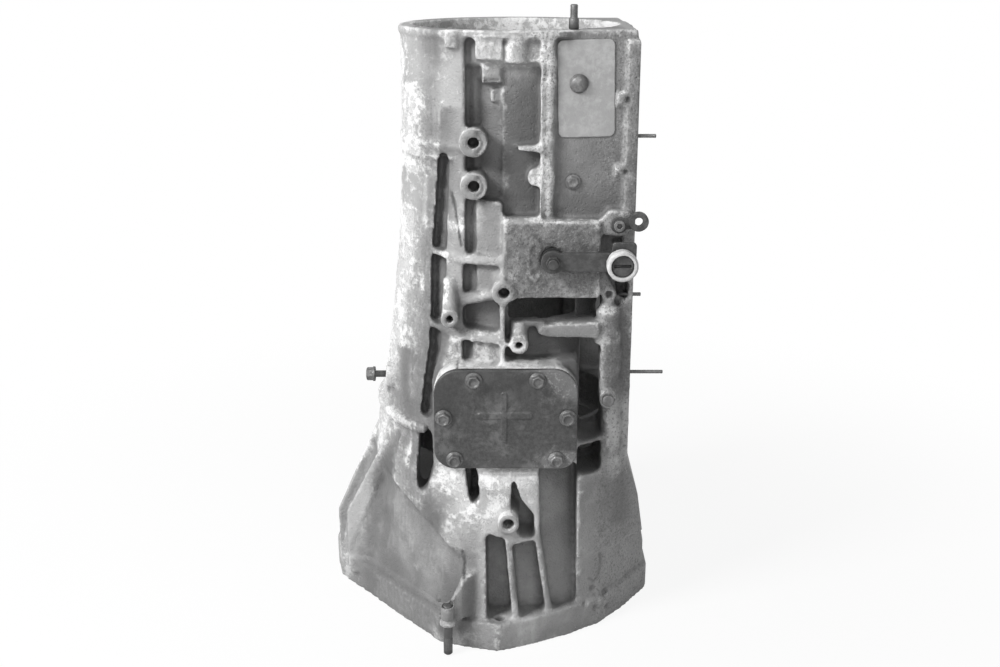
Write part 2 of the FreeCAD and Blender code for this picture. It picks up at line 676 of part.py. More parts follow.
for number, (x, y) in enumerate(rim_places):
    holes.append(cylinder("rim_hole_%d" % number, 3.6, 24, (x, y, "case_height - 20")))

# Bell bolt holes and hollow dowels
holes.append(cylinder("spot_face", SPOT_FACE, 80, BACK_HOLE + ("bell_band",)))
for number, (x, y) in enumerate(BELL_HOLES):
    holes.append(cylinder("bell_hole_%d" % number, "bell_bolt_radius", 60, (x, y, -10)))
DOWEL_HOLES = [BELL_HOLES[3], BELL_HOLES[9]]
DOWEL_RADIUS = 7.5
for number, (x, y) in enumerate(DOWEL_HOLES):
    holes.append(cylinder("dowel_seat_%d" % number, DOWEL_RADIUS + 0.05, 15, (x, y, -1)))

# Cover bolt places: the six-bolt side-cover pattern
COVER_BOLTS = [(-33.7, 44.5), (33.7, 44.5), (65.9, 2.6), (54.6, -45.2), (-54.6, -45.2), (-65.9, 2.6)]
COVER_PLACES = [(cover_x + dx, cover_z + dz) for dx, dz in COVER_BOLTS]
for number, (x, z) in enumerate(COVER_PLACES):
    holes.append(cylinder("cover_hole_%d" % number, "cover_bolt_radius + thread_gap", 26,
                            (x, "-cover_pad_face + 24", z), "front"))
stage = solid_case
for number, hollow in enumerate([[bore_space], [bell_space], [bell_inner], [bell_mouth], [flare_room],
                                 splines, openings, holes]):
    stage = cut("case_stage_%d" % number, stage, hollow)
part("case", stage)


def holed(name, blank, radius, places, face, depth):
    """A flat piece with bolt holes that run from a plane toward the front."""
    tools = [cylinder("%s_hole_%d" % (name, number), radius, depth + 4, (x, 2 - face, z), "front")
             for number, (x, z) in enumerate(places)]
    return cut(name + "_drilled", blank, tools)


# Side cover, gasket and bolts
pad_face = SIZES["cover_pad_face"]
gasket_thickness = SIZES["cover_gasket"]
plate_thickness = SIZES["cover_plate"]
gasket_face = pad_face + gasket_thickness
cover_face = gasket_face + plate_thickness
gasket_blank = facing("gasket_blank", COVER, gasket_face, pad_face, COVER_CORNERS)
gasket_ring = cut("gasket_ring", gasket_blank, [
    box("gasket_window", ("cover_opening_width", 10, "cover_opening_height"),
        ("cover_middle_x - cover_opening_width / 2", -pad_face - 5, "cover_middle_z - cover_opening_height / 2"))])
part("cover_gasket", holed("gasket", gasket_ring, "cover_bolt_radius + hole_gap", COVER_PLACES, pad_face, 4))
cover_blank = fuse("cover_blank", [
    facing("cover_sheet", COVER, cover_face, gasket_face, COVER_CORNERS),
    facing("cover_bar_upright", [(cover_x - 4.5, 232), (cover_x + 1, 232), (cover_x + 1, 288), (cover_x - 4.5, 288)],
           cover_face + 1.4, gasket_face + 1, 2.0),
    facing("cover_bar_level", [(cover_x - 30, 259), (cover_x + 28, 259), (cover_x + 28, 265), (cover_x - 30, 265)],
           cover_face + 1.4, gasket_face + 1, 2.5),
])
part("pto_cover", holed("cover", cover_blank, "cover_bolt_radius + hole_gap", COVER_PLACES, gasket_face, 10))


def flange_bolt(name, x, z, face, across_flats=12.7, flange=9.3, shank="cover_bolt_radius", length=26.0):
    """A bolt with a flanged six-sided head that faces the front."""
    return fuse(name, [
        cylinder(name + "_flange", flange, 2.4, (x, -face, z), "front"),
        hexagon(name + "_head", across_flats, 8.6, (x, -face, z), "front"),
        cylinder(name + "_shank", shank, length, (x, length - face, z), "front"),
    ])


group("cover_bolts", [flange_bolt("cover_bolt_%d" % number, x, z, cover_face)
                      for number, (x, z) in enumerate(COVER_PLACES)])

# Bare plate on the flat panel, and its round-head bolt
tilt = Rotation(Vector(0, 1, 0), -1.5)
plate_blank = extruded("plate_blank", rounded([(-21.5, -54), (36.5, -54), (36.5, 43.5), (-21.5, 43.5)], 6.5), 1.6,
                       (PLATE_X, "-panel_face", plate_z), tilt.multiply(TOWARD["front"]))
part("bare_plate", cut("plate_drilled", plate_blank, [
    cylinder("plate_hole", 3.5, 6, (PLATE_X, "-panel_face + 2", plate_z), "front")]))
part("plate_bolt", fuse("plate_bolt_form", [
    cylinder("plate_bolt_rim", 9.6, 1.8, (PLATE_X, "-panel_face - 1.6", plate_z), "front"),
    cone("plate_bolt_dome", 8.6, 5.2, 5.4, (PLATE_X, "-panel_face - 1.6", plate_z), "front"),
    cylinder("plate_bolt_shank", 3.0, 14, (PLATE_X, "-panel_face + 12.4", plate_z), "front"),
]))
part("pressure_plug", fuse("pressure_plug_form", [
    cylinder("plug_washer", 8.2, 1.6, (58.3, "-panel_face", 503.5), "front"),
    hexagon("plug_head", 11, 5, (58.3, "-panel_face", 503.5), "front"),
    cylinder("plug_shank", 5.0, 14, (58.3, "-panel_face + 14", 503.5), "front"),
]))

# Studs, plugs and loose-standing fasteners
part("rear_stud", fuse("rear_stud_form", [
    cylinder("rear_stud_low", 3.5, 18, (rear_x, rear_y, "case_height - 18")),
    cylinder("rear_stud_collar", 5.2, 11, (rear_x, rear_y, "case_height")),
    cylinder("rear_stud_high", 4.0, 12, (rear_x, rear_y, "case_height + 11")),
    cone("rear_stud_tip", 4.0, 3.0, 1.5, (rear_x, rear_y, "case_height + 23")),
]))
group("pan_studs", [cylinder("pan_stud_" + name, STUD_RADIUS, out + 18,
                             ("rail_face - 18", -stud_line, height), "right")
                    for name, (height, out) in STUDS.items()])
part("foot_stud", fuse("foot_stud_form", [
    cylinder("foot_stud_bar", 5.0, 58, FOOT_STUD_PLACE + (2.5,)),
    cone("foot_stud_tip", 3.6, 5.0, 1.5, FOOT_STUD_PLACE + (1.0,)),
]))
part("side_bolt", fuse("side_bolt_form", [
    cylinder("side_bolt_shank", 3.8, 36, (-124, -60, 274), "left"),
    cylinder("side_bolt_flange", 8.4, 3, (-159, -60, 274), "left"),
    hexagon("side_bolt_head", 13, 9, (-160, -60, 274), "left"),
]))
part("column_plug", fuse("column_plug_form", [
    cylinder("column_plug_shank", 5.1, 16, (98.6, -125, 271.7), "front"),
    cylinder("column_plug_head", 6.4, 3.5, (98.6, -139, 271.7), "front"),
]))
group("bell_dowels", [
    cut("dowel_%d" % number, cylinder("dowel_bar_%d" % number, DOWEL_RADIUS, 13, (x, y, 0.5)),
        [cylinder("dowel_bore_%d" % number, 5.6, 20, (x, y, -2))])
    for number, (x, y) in enumerate(DOWEL_HOLES)])
part("rear_bushing", cut("rear_bushing_form",
                         cylinder("bushing_bar", "web_bore - 0.05", "web_thickness", (0, 0, "web_height")),
                         [cylinder("bushing_hole", "web_bore - 4", "web_thickness + 4", (0, 0, "web_height - 2"))]))

# Line bracket at the rail: a strap with a ring ear, held by a socket bolt
STRAP = 3.0
part("line_bracket", cut("bracket_drilled", fuse("bracket_blank", [
    cylinder("bracket_foot", 8.6, STRAP, (105.6, -LUG_FACE, 462), "front"),
    cylinder("bracket_ring", 10.2, STRAP + 3, (125.6, -LUG_FACE, 466), "front"),
    facing("bracket_strap", [(105, 456.5), (126, 459), (126, 472), (105, 468)], LUG_FACE + STRAP, LUG_FACE, 0.0),
]), [
    cylinder("bracket_eye", 4.4, 20, (125.6, -LUG_FACE + 6, 466), "front"),
    cylinder("bracket_foot_hole", 3.4, 20, (105.6, -LUG_FACE + 6, 462), "front"),
]))
part("bracket_bolt", cut("bracket_bolt_form", fuse("bracket_bolt_blank", [
    cylinder("bracket_bolt_head", 5.6, 5.5, (105.6, -LUG_FACE - STRAP, 462), "front"),
    cylinder("bracket_bolt_shank", 3.0, 22, (105.6, -LUG_FACE - STRAP + 22, 462), "front"),
]), [hexagon("bracket_bolt_socket", 5.5, 10, (105.6, -LUG_FACE - STRAP - 2, 462), "front")]))

# Selector: shaft, seal, lever, nut, bushing, cable pin, detent lever, nut, spring, bolt and roll pin
lever_back = SHAFT_SHOULDER
lever_front = lever_back + SIZES["lever_thickness"]
DETENT_BACK = 86.0
detent_front = DETENT_BACK + SIZES["detent_thickness"]
END_RADIUS = 5.0
shaft_bar = fuse("shaft_bar", [
    cylinder("shaft_middle", "shaft_radius", lever_back - detent_front,
             ("shaft_x", -detent_front, "shaft_z"), "front"),
    cylinder("shaft_outer_end", END_RADIUS, 16, ("shaft_x", -lever_back + 1, "shaft_z"), "front"),
    cylinder("shaft_inner_end", END_RADIUS, 16, ("shaft_x", -detent_front + 15, "shaft_z"), "front"),
])
groove = cut("shaft_groove", cylinder("groove_bar", 12, 5, (shaft_x, -112.5, shaft_z), "front"),
             [cylinder("groove_core", 5.3, 7, (shaft_x, -111.5, shaft_z), "front")])
part("selector_shaft", cut("selector_shaft_form", shaft_bar, [groove]))
part("shaft_seal", cut("shaft_seal_form",
                       cylinder("seal_bar", SEAL_RADIUS, 6, ("shaft_x", "-pad_face + 6", "shaft_z"), "front"),
                       [cylinder("seal_hole", "shaft_radius + running_gap", 20,
                                 ("shaft_x", "-pad_face + 10", "shaft_z"), "front")]))
reach = SIZES["lever_reach"]
half_lever = SIZES["lever_width"] / 2
lever_tip = shaft_x + reach
lever_blank = fuse("lever_blank", [
    cylinder("lever_hub", "lever_hub", "lever_thickness", ("shaft_x", -lever_back, "shaft_z"), "front"),
    facing("lever_arm", [(shaft_x, shaft_z - half_lever), (lever_tip, shaft_z - half_lever),
                         (lever_tip, shaft_z + half_lever), (shaft_x, shaft_z + half_lever)],
           lever_front, lever_back),
    facing("lever_end", [(lever_tip - 10, shaft_z - 14), (lever_tip + 15, shaft_z - 14),
                         (lever_tip + 15, shaft_z + 21), (lever_tip - 10, shaft_z + 21)],
           lever_front, lever_back, 4.0),
])
part("selector_lever", cut("lever_drilled", lever_blank, [
    cylinder("lever_eye", END_RADIUS + 0.1, 12, ("shaft_x", -lever_back + 3, "shaft_z"), "front")]))


def nut(name, across_flats, height, face, at):
    """A nut on the shaft's reduced end, with its first face at a plane."""
    blank = hexagon(name + "_blank", across_flats, height, (at[0], -face, at[1]), "front")
    bore = cylinder(name + "_bore", END_RADIUS + 0.1, height + 4, (at[0], 2 - face, at[1]), "front")
    return cut(name, blank, [bore])


part("lever_nut", nut("lever_nut_form", 13.0, 5.0, lever_front, (shaft_x, shaft_z)))
part("lever_bushing", cut("lever_bushing_form", fuse("lever_bushing_bar", [
    cylinder("bushing_wall", "bushing_radius - 1.4", "bushing_length",
             (lever_tip, -lever_front, shaft_z - 1.2), "front"),
    cylinder("bushing_lip", "bushing_radius", "bushing_length - 4",
             (lever_tip, -lever_front - 2, shaft_z - 1.2), "front"),
]), [
    cylinder("bushing_room", "bushing_bore", 30, (lever_tip, -lever_front + 5, shaft_z - 1.2), "front")]))
part("cable_pin", cut("cable_pin_form",
                      cylinder("cable_pin_bar", "bushing_bore - 0.2", "bushing_length - 3",
                               (lever_tip, -lever_front, shaft_z - 1.2), "front"),
                      [box("cable_pin_slot", (18, 6, 3), (lever_tip - 9, -lever_front - SIZES["bushing_length"],
                                                          shaft_z - 2.7),
                           Rotation(Vector(0, 1, 0), 0))]))

# Detent lever: a hub with a toothed sector that points up
detent_radius = SIZES["detent_radius"]
sector = []
for step in range(15):
    angle = math.radians(136 - step * 92 / 14)
    tooth = detent_radius - (3.0 if step % 2 else 0.0)
    sector.append((shaft_x + tooth * math.cos(angle), shaft_z + tooth * math.sin(angle)))
sector_outline = [(shaft_x + 11, shaft_z - 2), (shaft_x - 11, shaft_z - 2)] + sector
part("detent_lever", cut("detent_lever_form", fuse("detent_lever_blank", [
    facing("detent_sector", sector_outline, detent_front, DETENT_BACK),
    cylinder("detent_hub", 12.5, "detent_thickness", (shaft_x, -DETENT_BACK, shaft_z), "front"),
]), [cylinder("detent_eye", END_RADIUS + 0.1, 12, (shaft_x, -DETENT_BACK + 4, shaft_z), "front")]))
part("detent_nut", nut("detent_nut_form", 13.0, 6.0, DETENT_BACK - 6.0, (shaft_x, shaft_z)))
ROLLER = 5.0
roller_z = shaft_z + detent_radius + ROLLER + 0.5
part("detent_spring", cut("detent_spring_form", fuse("detent_spring_blank", [
    facing("detent_leaf", [(shaft_x - 6, roller_z - 2), (shaft_x + 6, roller_z - 2),
                           (shaft_x + 9, 514), (shaft_x - 9, 514)], CHAMBER_WALL, CHAMBER_WALL - 1.4, 3.0),
    cylinder("detent_roller", ROLLER, 8.5, (shaft_x, -CHAMBER_WALL + 9, roller_z), "front"),
]), [cylinder("detent_leaf_hole", 3.4, 10, (shaft_x, -CHAMBER_WALL + 6, 506), "front")]))
part("detent_bolt", fuse("detent_bolt_form", [
    hexagon("detent_bolt_head", 10, 5, (shaft_x, -CHAMBER_WALL + 6.4, 506), "front"),
    cylinder("detent_bolt_shank", 3.0, 18, (shaft_x, -CHAMBER_WALL + 5, 506), "front"),
]))
part("shaft_roll_pin", cylinder("roll_pin", PIN_RADIUS, 58, (pin_x, -115, 405)))

# Build, test and write each piece
doc.recompute()
faults = [obj.Name for obj in doc.Objects if "Invalid" in obj.State or "Error" in obj.State]
if faults:
    raise RuntimeError("not built: " + ", ".join(faults))
os.makedirs("parts", exist_ok=True)
for name, obj in PARTS:
    shape = obj.Shape
    if shape.isNull() or not shape.isValid():
        raise RuntimeError("bad shape: " + name)
    shape.exportStep("parts/%s.step" % name)
    print("%-18s solids %d  volume %.0f mm3" % (name, len(shape.Solids), shape.Volume))
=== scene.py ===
# %% [markdown]
# # A gearbox housing, dressed in Blender
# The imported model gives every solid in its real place. This lesson leaves those solids where they
# are, gives each one a worked-out finish, and adds the small forms that machining, pressing and
# years of use leave on such a housing. The scene is in metres, with +Z up the main axis. Places on
# the housing are given in millimetres, as a workshop drawing would give them.

# %% Load the frame
import json
import math

import bmesh
import bpy
import numpy as np
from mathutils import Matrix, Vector


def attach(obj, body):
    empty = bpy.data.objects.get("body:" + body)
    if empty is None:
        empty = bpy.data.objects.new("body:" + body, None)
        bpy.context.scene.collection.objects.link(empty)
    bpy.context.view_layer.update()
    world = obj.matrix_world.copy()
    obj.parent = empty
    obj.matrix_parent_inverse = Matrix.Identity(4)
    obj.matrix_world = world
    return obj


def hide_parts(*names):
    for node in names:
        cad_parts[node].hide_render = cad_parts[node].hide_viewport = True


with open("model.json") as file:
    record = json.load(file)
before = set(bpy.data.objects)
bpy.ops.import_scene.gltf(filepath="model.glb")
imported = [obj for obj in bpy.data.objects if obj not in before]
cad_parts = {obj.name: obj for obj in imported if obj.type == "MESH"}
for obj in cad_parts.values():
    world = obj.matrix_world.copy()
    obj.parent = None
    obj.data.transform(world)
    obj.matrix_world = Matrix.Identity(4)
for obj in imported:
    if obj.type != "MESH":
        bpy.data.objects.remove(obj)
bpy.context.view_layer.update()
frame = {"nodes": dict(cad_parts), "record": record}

# %% [markdown]
# ## Camera
# The photograph looks down on the housing at about eighteen degrees from a person's height, with
# the whole length of the case in the frame. The lens is worked out in pixels of a picture 1000 wide
# and turned into millimetres of a 36 mm sensor, so the case falls where it does in the photograph.

# %% Camera
IMAGE_WIDTH = 1000
FOCAL_PIXELS = 1218
SENSOR = 36.0
CAMERA_PLACE = (-0.0175, -1.364, 0.738)
LOOKING_DOWN = 17.7
camera_data = bpy.data.cameras.new("camera")
camera_data.sensor_width = SENSOR
camera_data.lens = FOCAL_PIXELS * SENSOR / IMAGE_WIDTH
camera_data.clip_end = 20
camera = bpy.data.objects.new("camera", camera_data)
camera.location = CAMERA_PLACE
camera.rotation_euler = (math.radians(90 - LOOKING_DOWN), 0, 0)
bpy.context.collection.objects.link(camera)
bpy.context.scene.camera = camera
bpy.context.scene.view_settings.view_transform = "Standard"
print("lens", round(camera_data.lens, 2), "mm")

# %% [markdown]
# ## Floor, world and lamps
# The housing stands on a pale floor that runs off into a white background. Seen by the camera the
# floor is nearly white by itself, so the lamps can stay at a plain level and the soft shadow under
# the bell is kept. A broad lamp from the upper left lights the left flank, as in the photograph.

# %% Nodes by one short call
def nodes_of(owner):
    """Switch an owner's nodes on, clear them and hand back the tree."""
    owner.use_nodes = True
    owner.node_tree.nodes.clear()
    return owner.node_tree


def add(tree, kind, values=None, **links):
    """Make a node; values set sockets or properties, links join sockets by name or as n0, n1."""
    node = tree.nodes.new(kind)
    for key, value in (values or {}).items():
        if isinstance(key, int) or key in node.inputs:
            node.inputs[key].default_value = value
        else:
            setattr(node, key, value)
    for key, source in links.items():
        numbered = key[0] == "n" and key[1:].isdigit()
        tree.links.new(source, node.inputs[int(key[1:]) if numbered else key.replace("_", " ")])
    return node


# %% Floor
STAGE_SIZE = 12.0
PALE = (0.86, 0.86, 0.86, 1)
WHITE = (1, 1, 1, 1)
FADE_START, FADE_END = 0.25, 1.1
GLOW_NEAR = 0.9


def seen_mask(tree):
    """One where a camera, mirror or glass ray looks straight at the stage."""
    path = add(tree, "ShaderNodeLightPath")
    first = add(tree, "ShaderNodeMath", {"operation": "MAXIMUM"},
                n0=path.outputs["Is Camera Ray"], n1=path.outputs["Is Glossy Ray"])
    return add(tree, "ShaderNodeMath", {"operation": "MAXIMUM"},
               n0=first.outputs[0], n1=path.outputs["Is Transmission Ray"]).outputs[0]


half = STAGE_SIZE / 2
corners = [(-half, -half, 0), (half, -half, 0), (half, half, 0), (-half, half, 0)]
stage_mesh = bpy.data.meshes.new("floor")
stage_mesh.from_pydata(corners, [], [(0, 1, 2, 3)])
floor = bpy.data.objects.new("floor", stage_mesh)
bpy.context.collection.objects.link(floor)
floor_material = bpy.data.materials.new("floor_pale")
tree = nodes_of(floor_material)
diffuse = add(tree, "ShaderNodeBsdfDiffuse", {"Color": PALE})
glow = add(tree, "ShaderNodeEmission", {"Color": WHITE, "Strength": 1.0})
where = add(tree, "ShaderNodeTexCoord").outputs["Object"]
distance = add(tree, "ShaderNodeVectorMath", {"operation": "LENGTH"}, n0=where).outputs["Value"]
fade = add(tree, "ShaderNodeMapRange",
           {"interpolation_type": "SMOOTHSTEP", "From Min": FADE_START, "From Max": FADE_END,
            "To Min": GLOW_NEAR, "To Max": 1.0}, Value=distance).outputs[0]
share = add(tree, "ShaderNodeMath", {"operation": "MULTIPLY"}, n0=seen_mask(tree), n1=fade)
mix = add(tree, "ShaderNodeMixShader", {}, n0=share.outputs[0], n1=diffuse.outputs[0], n2=glow.outputs[0])
add(tree, "ShaderNodeOutputMaterial", {}, Surface=mix.outputs[0])
stage_mesh.materials.append(floor_material)
print("floor", STAGE_SIZE, "m wide")

# %% World
AMBIENT = 0.26
world = bpy.data.worlds.new("world")
bpy.context.scene.world = world
tree = nodes_of(world)
ambient = add(tree, "ShaderNodeBackground", {"Color": WHITE, "Strength": AMBIENT})
white = add(tree, "ShaderNodeBackground", {"Color": WHITE, "Strength": 1.0})
mix = add(tree, "ShaderNodeMixShader", {}, n0=seen_mask(tree), n1=ambient.outputs[0], n2=white.outputs[0])
add(tree, "ShaderNodeOutputWorld", {}, Surface=mix.outputs[0])
print("ambient light", AMBIENT)

# %% Lamps
def lamp(name, place, target, size, power):
    """A square lamp that faces a point."""
    data = bpy.data.lights.new(name, "AREA")
    data.size = size
    data.energy = power
    obj = bpy.data.objects.new(name, data)
    obj.location = place
    obj.rotation_euler = (Vector(target) - Vector(place)).to_track_quat("-Z", "Y").to_euler()
    bpy.context.collection.objects.link(obj)
    print(name, power, "W")


lamp("key_left", place=(-1.6, -1.15, 1.75), target=(0, 0, 0.35), size=0.7, power=60)
lamp("fill_front", place=(0.2, -2.4, 1.6), target=(0, 0, 0.3), size=1.6, power=11)

# %% [markdown]
# ## An even skin for the casting
# A casting has no sharp inner corners: wherever a rib meets a wall the metal runs into a fillet, and
# the outside copies every flaw of its mould. Rounding each edge of a form this branched would take
# weeks by hand. So the case's solids are copied, merged, covered with small even faces and smoothed,
# and every corner rounds off by itself. Three short walls go in first, where the case is too thin.

# %% Copies of the solids
def merged(node):
    """A copy of a node's mesh with its loose triangles joined at their corners."""
    mesh = frame["nodes"][node].data.copy()
    mesh.transform(frame["nodes"][node].matrix_world)
    work = bmesh.new()
    work.from_mesh(mesh)
    bmesh.ops.remove_doubles(work, verts=work.verts, dist=1e-6)
    work.to_mesh(mesh)
    work.free()
    return mesh


def with_forms(mesh, forms):
    """The mesh with more closed forms in it, each the hull of a few corners in millimetres."""
    work = bmesh.new()
    work.from_mesh(mesh)
    for corners in forms:
        made = bmesh.new()
        for corner in corners:
            made.verts.new(Vector(corner) / 1000)
        bmesh.ops.convex_hull(made, input=made.verts)
        bmesh.ops.recalc_face_normals(made, faces=made.faces)
        hull = bpy.data.meshes.new("hull")
        made.to_mesh(hull)
        made.free()
        work.from_mesh(hull)
        bpy.data.meshes.remove(hull)
    work.to_mesh(mesh)
    work.free()
    return mesh


def evaluated(mesh, *modifiers):
    """The mesh that a stack of modifiers makes: the kind and the settings of each."""
    carrier = bpy.data.objects.new("carrier", mesh)
    bpy.context.collection.objects.link(carrier)
    for kind, settings in modifiers:
        modifier = carrier.modifiers.new(kind.lower(), kind)
        for key, value in settings.items():
            setattr(modifier, key, value)
    made = bpy.data.meshes.new_from_object(carrier.evaluated_get(bpy.context.evaluated_depsgraph_get()))
    bpy.data.objects.remove(carrier)
    return made


def even_skin(mesh, step, rounds):
    """The mesh covered with even faces of one size in metres and smoothed a number of rounds."""
    return evaluated(mesh, ("REMESH", {"mode": "VOXEL", "voxel_size": step}),
                     ("SMOOTH", {"factor": 0.5, "iterations": rounds}))


def thinned(mesh, triangles):
    """The mesh with about a number of triangles, or all of them if it has fewer."""
    return evaluated(mesh, ("DECIMATE", {"ratio": min(1.0, triangles / (2 * len(mesh.polygons)))}))


# %% The case's even skin
SKIN_STEP = 0.0022
BOSS_WALL = [(x, y, z) for x in (104, 121) for y in (-92, -85) for z in (366, 412)]
SHOULDER_WALL = [(x, y, z) for x in (116, 125) for y in (58, 84) for z in (150, 186)]
BOLT_WALL = [(x, y, z) for x, y in ((64, 149), (77, 149), (64, 158), (67.5, 158)) for z in (40, 60)]
even = even_skin(with_forms(merged("case"), [BOSS_WALL, SHOULDER_WALL, BOLT_WALL]), SKIN_STEP, 3)
print("even skin", len(even.polygons), "faces")

# %% [markdown]
# ## Working on all points at once
# The skin has too many points for a loop, so every measure is a formula on whole arrays. A smooth
# step says where a region starts, two of them make a band, and bands in x and in z make a soft-edged
# region of the front view. Noise is a lattice of random values, blended between its corners.

# %% Arrays of a mesh
def read_vectors(items, name):
    """A three-column array of one vector property of every item."""
    flat = np.empty(3 * len(items))
    items.foreach_get(name, flat)
    return flat.reshape(-1, 3)


def edges_of(mesh):
    """The two ends of every edge, as two arrays."""
    flat = np.empty(2 * len(mesh.edges), np.int64)
    mesh.edges.foreach_get("vertices", flat)
    return flat.reshape(-1, 2).T


def neighbour_mean(edges, values):
    """The mean of the values of each vertex's neighbours."""
    first, second = edges
    size = len(values)
    count = np.bincount(first, minlength=size) + np.bincount(second, minlength=size)
    total = np.bincount(first, values[second], size) + np.bincount(second, values[first], size)
    return total / np.maximum(count, 1)


def spread(edges, values, rounds):
    """Values of the vertices, each mixed with the mean of its neighbours a number of times."""
    for _ in range(rounds):
        values = 0.5 * values + 0.5 * neighbour_mean(edges, values)
    return values


# %% Steps, bands, discs and lines
def rise(value, low, high):
    """A smooth step from nought at low to one at high, where low may be the larger: t t (3 - 2 t)."""
    share = np.clip((value - low) / (high - low), 0, 1)
    return share * share * (3 - 2 * share)


def band(value, start, full, fade, end):
    """A smooth band: nought up to start, one from full to fade, and nought again from end."""
    return rise(value, start, full) * rise(value, end, fade)


def discs(points, circles, outer, inner):
    """One in circles of the front view, each of x, z and radius; the edge runs from outer to inner."""
    return sum(rise(np.hypot(points[:, 0] - across, points[:, 2] - up), size + outer, size + inner)
               for across, up, size in circles)


def line_distance(points, line):
    """The distance in the front view from each point to a line through corners of x and z."""
    flat = points[:, [0, 2]]
    nearest = np.full(len(points), 1e9)
    for start, end in zip(np.array(line[:-1], float), np.array(line[1:], float)):
        along = np.clip(((flat - start) @ (end - start)) / ((end - start) @ (end - start)), 0, 1)
        away = np.linalg.norm(flat - start - along[:, None] * (end - start), axis=1)
        nearest = np.minimum(nearest, away)
    return nearest


# %% Noise
NOISE_TABLE = 4096
NOISE_PRIMES = (73856093, 19349663, 83492791)


def lattice_noise(points, cell, seed):
    """Random values of a lattice, blended smoothly between its corners, from -1 to 1."""
    table = np.random.default_rng(seed).uniform(-1, 1, NOISE_TABLE)
    scaled = points / cell
    corner = np.floor(scaled).astype(np.int64)
    part = scaled - corner
    part = part * part * (3 - 2 * part)
    total = np.zeros(len(points))
    for dx in (0, 1):
        for dy in (0, 1):
            for dz in (0, 1):
                x, y, z = ((corner + (dx, dy, dz)) * NOISE_PRIMES).T
                key = (x ^ y ^ z) & (NOISE_TABLE - 1)
                weight = (np.abs(1 - dx - part[:, 0]) * np.abs(1 - dy - part[:, 1])
                          * np.abs(1 - dz - part[:, 2]))
                total += table[key] * weight
    return total


def cloudy(points, cell, seed):
    """Three sizes of noise added, each half as large and half as strong as the one before."""
    return sum(lattice_noise(points, cell / 2 ** n, seed + n) / 2 ** n for n in range(3)) / 1.75


# %% [markdown]
# ## What the mould, the machine and the years did
# The skin is pushed in and out along its normals. The mould left slow waves and a coarse grain, the
# corroded metal has a crust, and the faces that a machine cut stay flat. Then come the single marks:
# the sunk panel beside the foot, a step in the upper recess, a hooked groove, dished spots low on the
# right, cracks in the skin, small bores that the smoothing has closed, the mould's parting line on the
# left flank, and a cast arc on the selector pad.

# %% Regions that the shape and the finish share
# A circle is x, z and radius, and a line is a row of corners of x and z
BOSS_FACES = [(-44.9, 545.5, 15.6), (-44.5, 500.6, 15.0), (-13.3, 390.1, 12.8), (-70.4, 363.1, 9.3),
              (2.6, 334.6, 10.0), (97.8, 386.1, 7.4), (-8.4, 144.4, 11.3), (98.6, 271.7, 9.8)]
RIGHT_BORE = [(97.8, 386.1, 2.8)]
RAIL_EYES = [(112.0, 588.5, 2.2), (112.0, 514.8, 2.2)]
PARTING = [(-135, 524), (-60, 528)]
CRACKS = [[(-58, 108), (-56, 97), (-57, 85)], [(-68, 492), (-64, 476), (-62.5, 462), (-58, 436)],
          [(-64, 330), (-62, 318), (-64, 306)]]
HOOK = [(94, 90), (96, 72), (94, 59), (88, 52), (83, 58)]
CREASE_LEFT, CREASE_TOP, CREASE_SLOPE = -111, 139, 0.706
ARC_CENTRE, ARC_HALF_WIDTH, ARC_HALF_HEIGHT = (18.5, 425), 7.0, 20.0


def front_of(place):
    """One on the front of the case, nought on its back half."""
    return rise(place[:, 1], -30, -70)


def left_side(x, y):
    """The left flank, up to the round back wall."""
    return rise(x, -62, -68) * rise(y, 60, 20)


def selector_pad(x, z):
    """The pad that carries the selector, in the front view."""
    return band(x, -15, -9, 84, 91) * band(z, 384, 390, 462, 468)


def below_crease(x, z):
    """A step under the crease that slants down over the left of the bell."""
    return rise(CREASE_TOP - (x - CREASE_LEFT) * CREASE_SLOPE - z, 0, 2.6)


def arc_distance(x, z):
    """Close to the distance from the cast arc, the left part of an upright ellipse on the pad."""
    across = (x - ARC_CENTRE[0]) / ARC_HALF_WIDTH
    up = (z - ARC_CENTRE[1]) / ARC_HALF_HEIGHT
    return np.abs(np.hypot(across, up) - 1) * ARC_HALF_WIDTH


def wobble(place):
    """An uneven edge for cracks and seams, in millimetres."""
    return 1.3 * lattice_noise(place, 7, 81)


# %% Where the skin is cast and where it was cut
place = read_vectors(even.vertices, "co") * 1000
normal = read_vectors(even.vertices, "normal")
edges = edges_of(even)
bell_corner = rise(place[:, 0], 66, 78) * rise(place[:, 1], -90, -100) * band(place[:, 2], 28, 40, 110, 130)
softer = np.stack([spread(edges, axis, 40) for axis in place.T], axis=1)
place += bell_corner[:, None] * (softer - place)
x, y, z = place.T
front = front_of(place)
radius = np.hypot(x, y)
bore = rise(-(x * normal[:, 0] + y * normal[:, 1]) / np.maximum(radius, 1), 0.6, 0.9) * rise(radius, 124, 116)
flat_ends = rise(np.abs(normal[:, 2]), 0.9, 0.98) * (rise(z, 652, 656) + rise(z, 4, 1.5))
cover_land = rise(y, -153.5, -154.6) * rise(-normal[:, 1], 0.9, 0.98)
rail_land = rise(x, 122.5, 123.6) * rise(normal[:, 0], 0.9, 0.98)
boss_faces = discs(place, BOSS_FACES, 1.5, -0.5) * rise(-normal[:, 1], 0.8, 0.95) * front
foot_web = band(x, -94, -88, -32, -26) * rise(y, -158, -164) * rise(z, 104, 98)
cast = 1 - np.clip(bore + flat_ends + cover_land + rail_land + 0.75 * boss_faces, 0, 1)
cast *= 1 - 0.7 * foot_web
print("cast share of the skin", round(float(cast.mean()), 2))

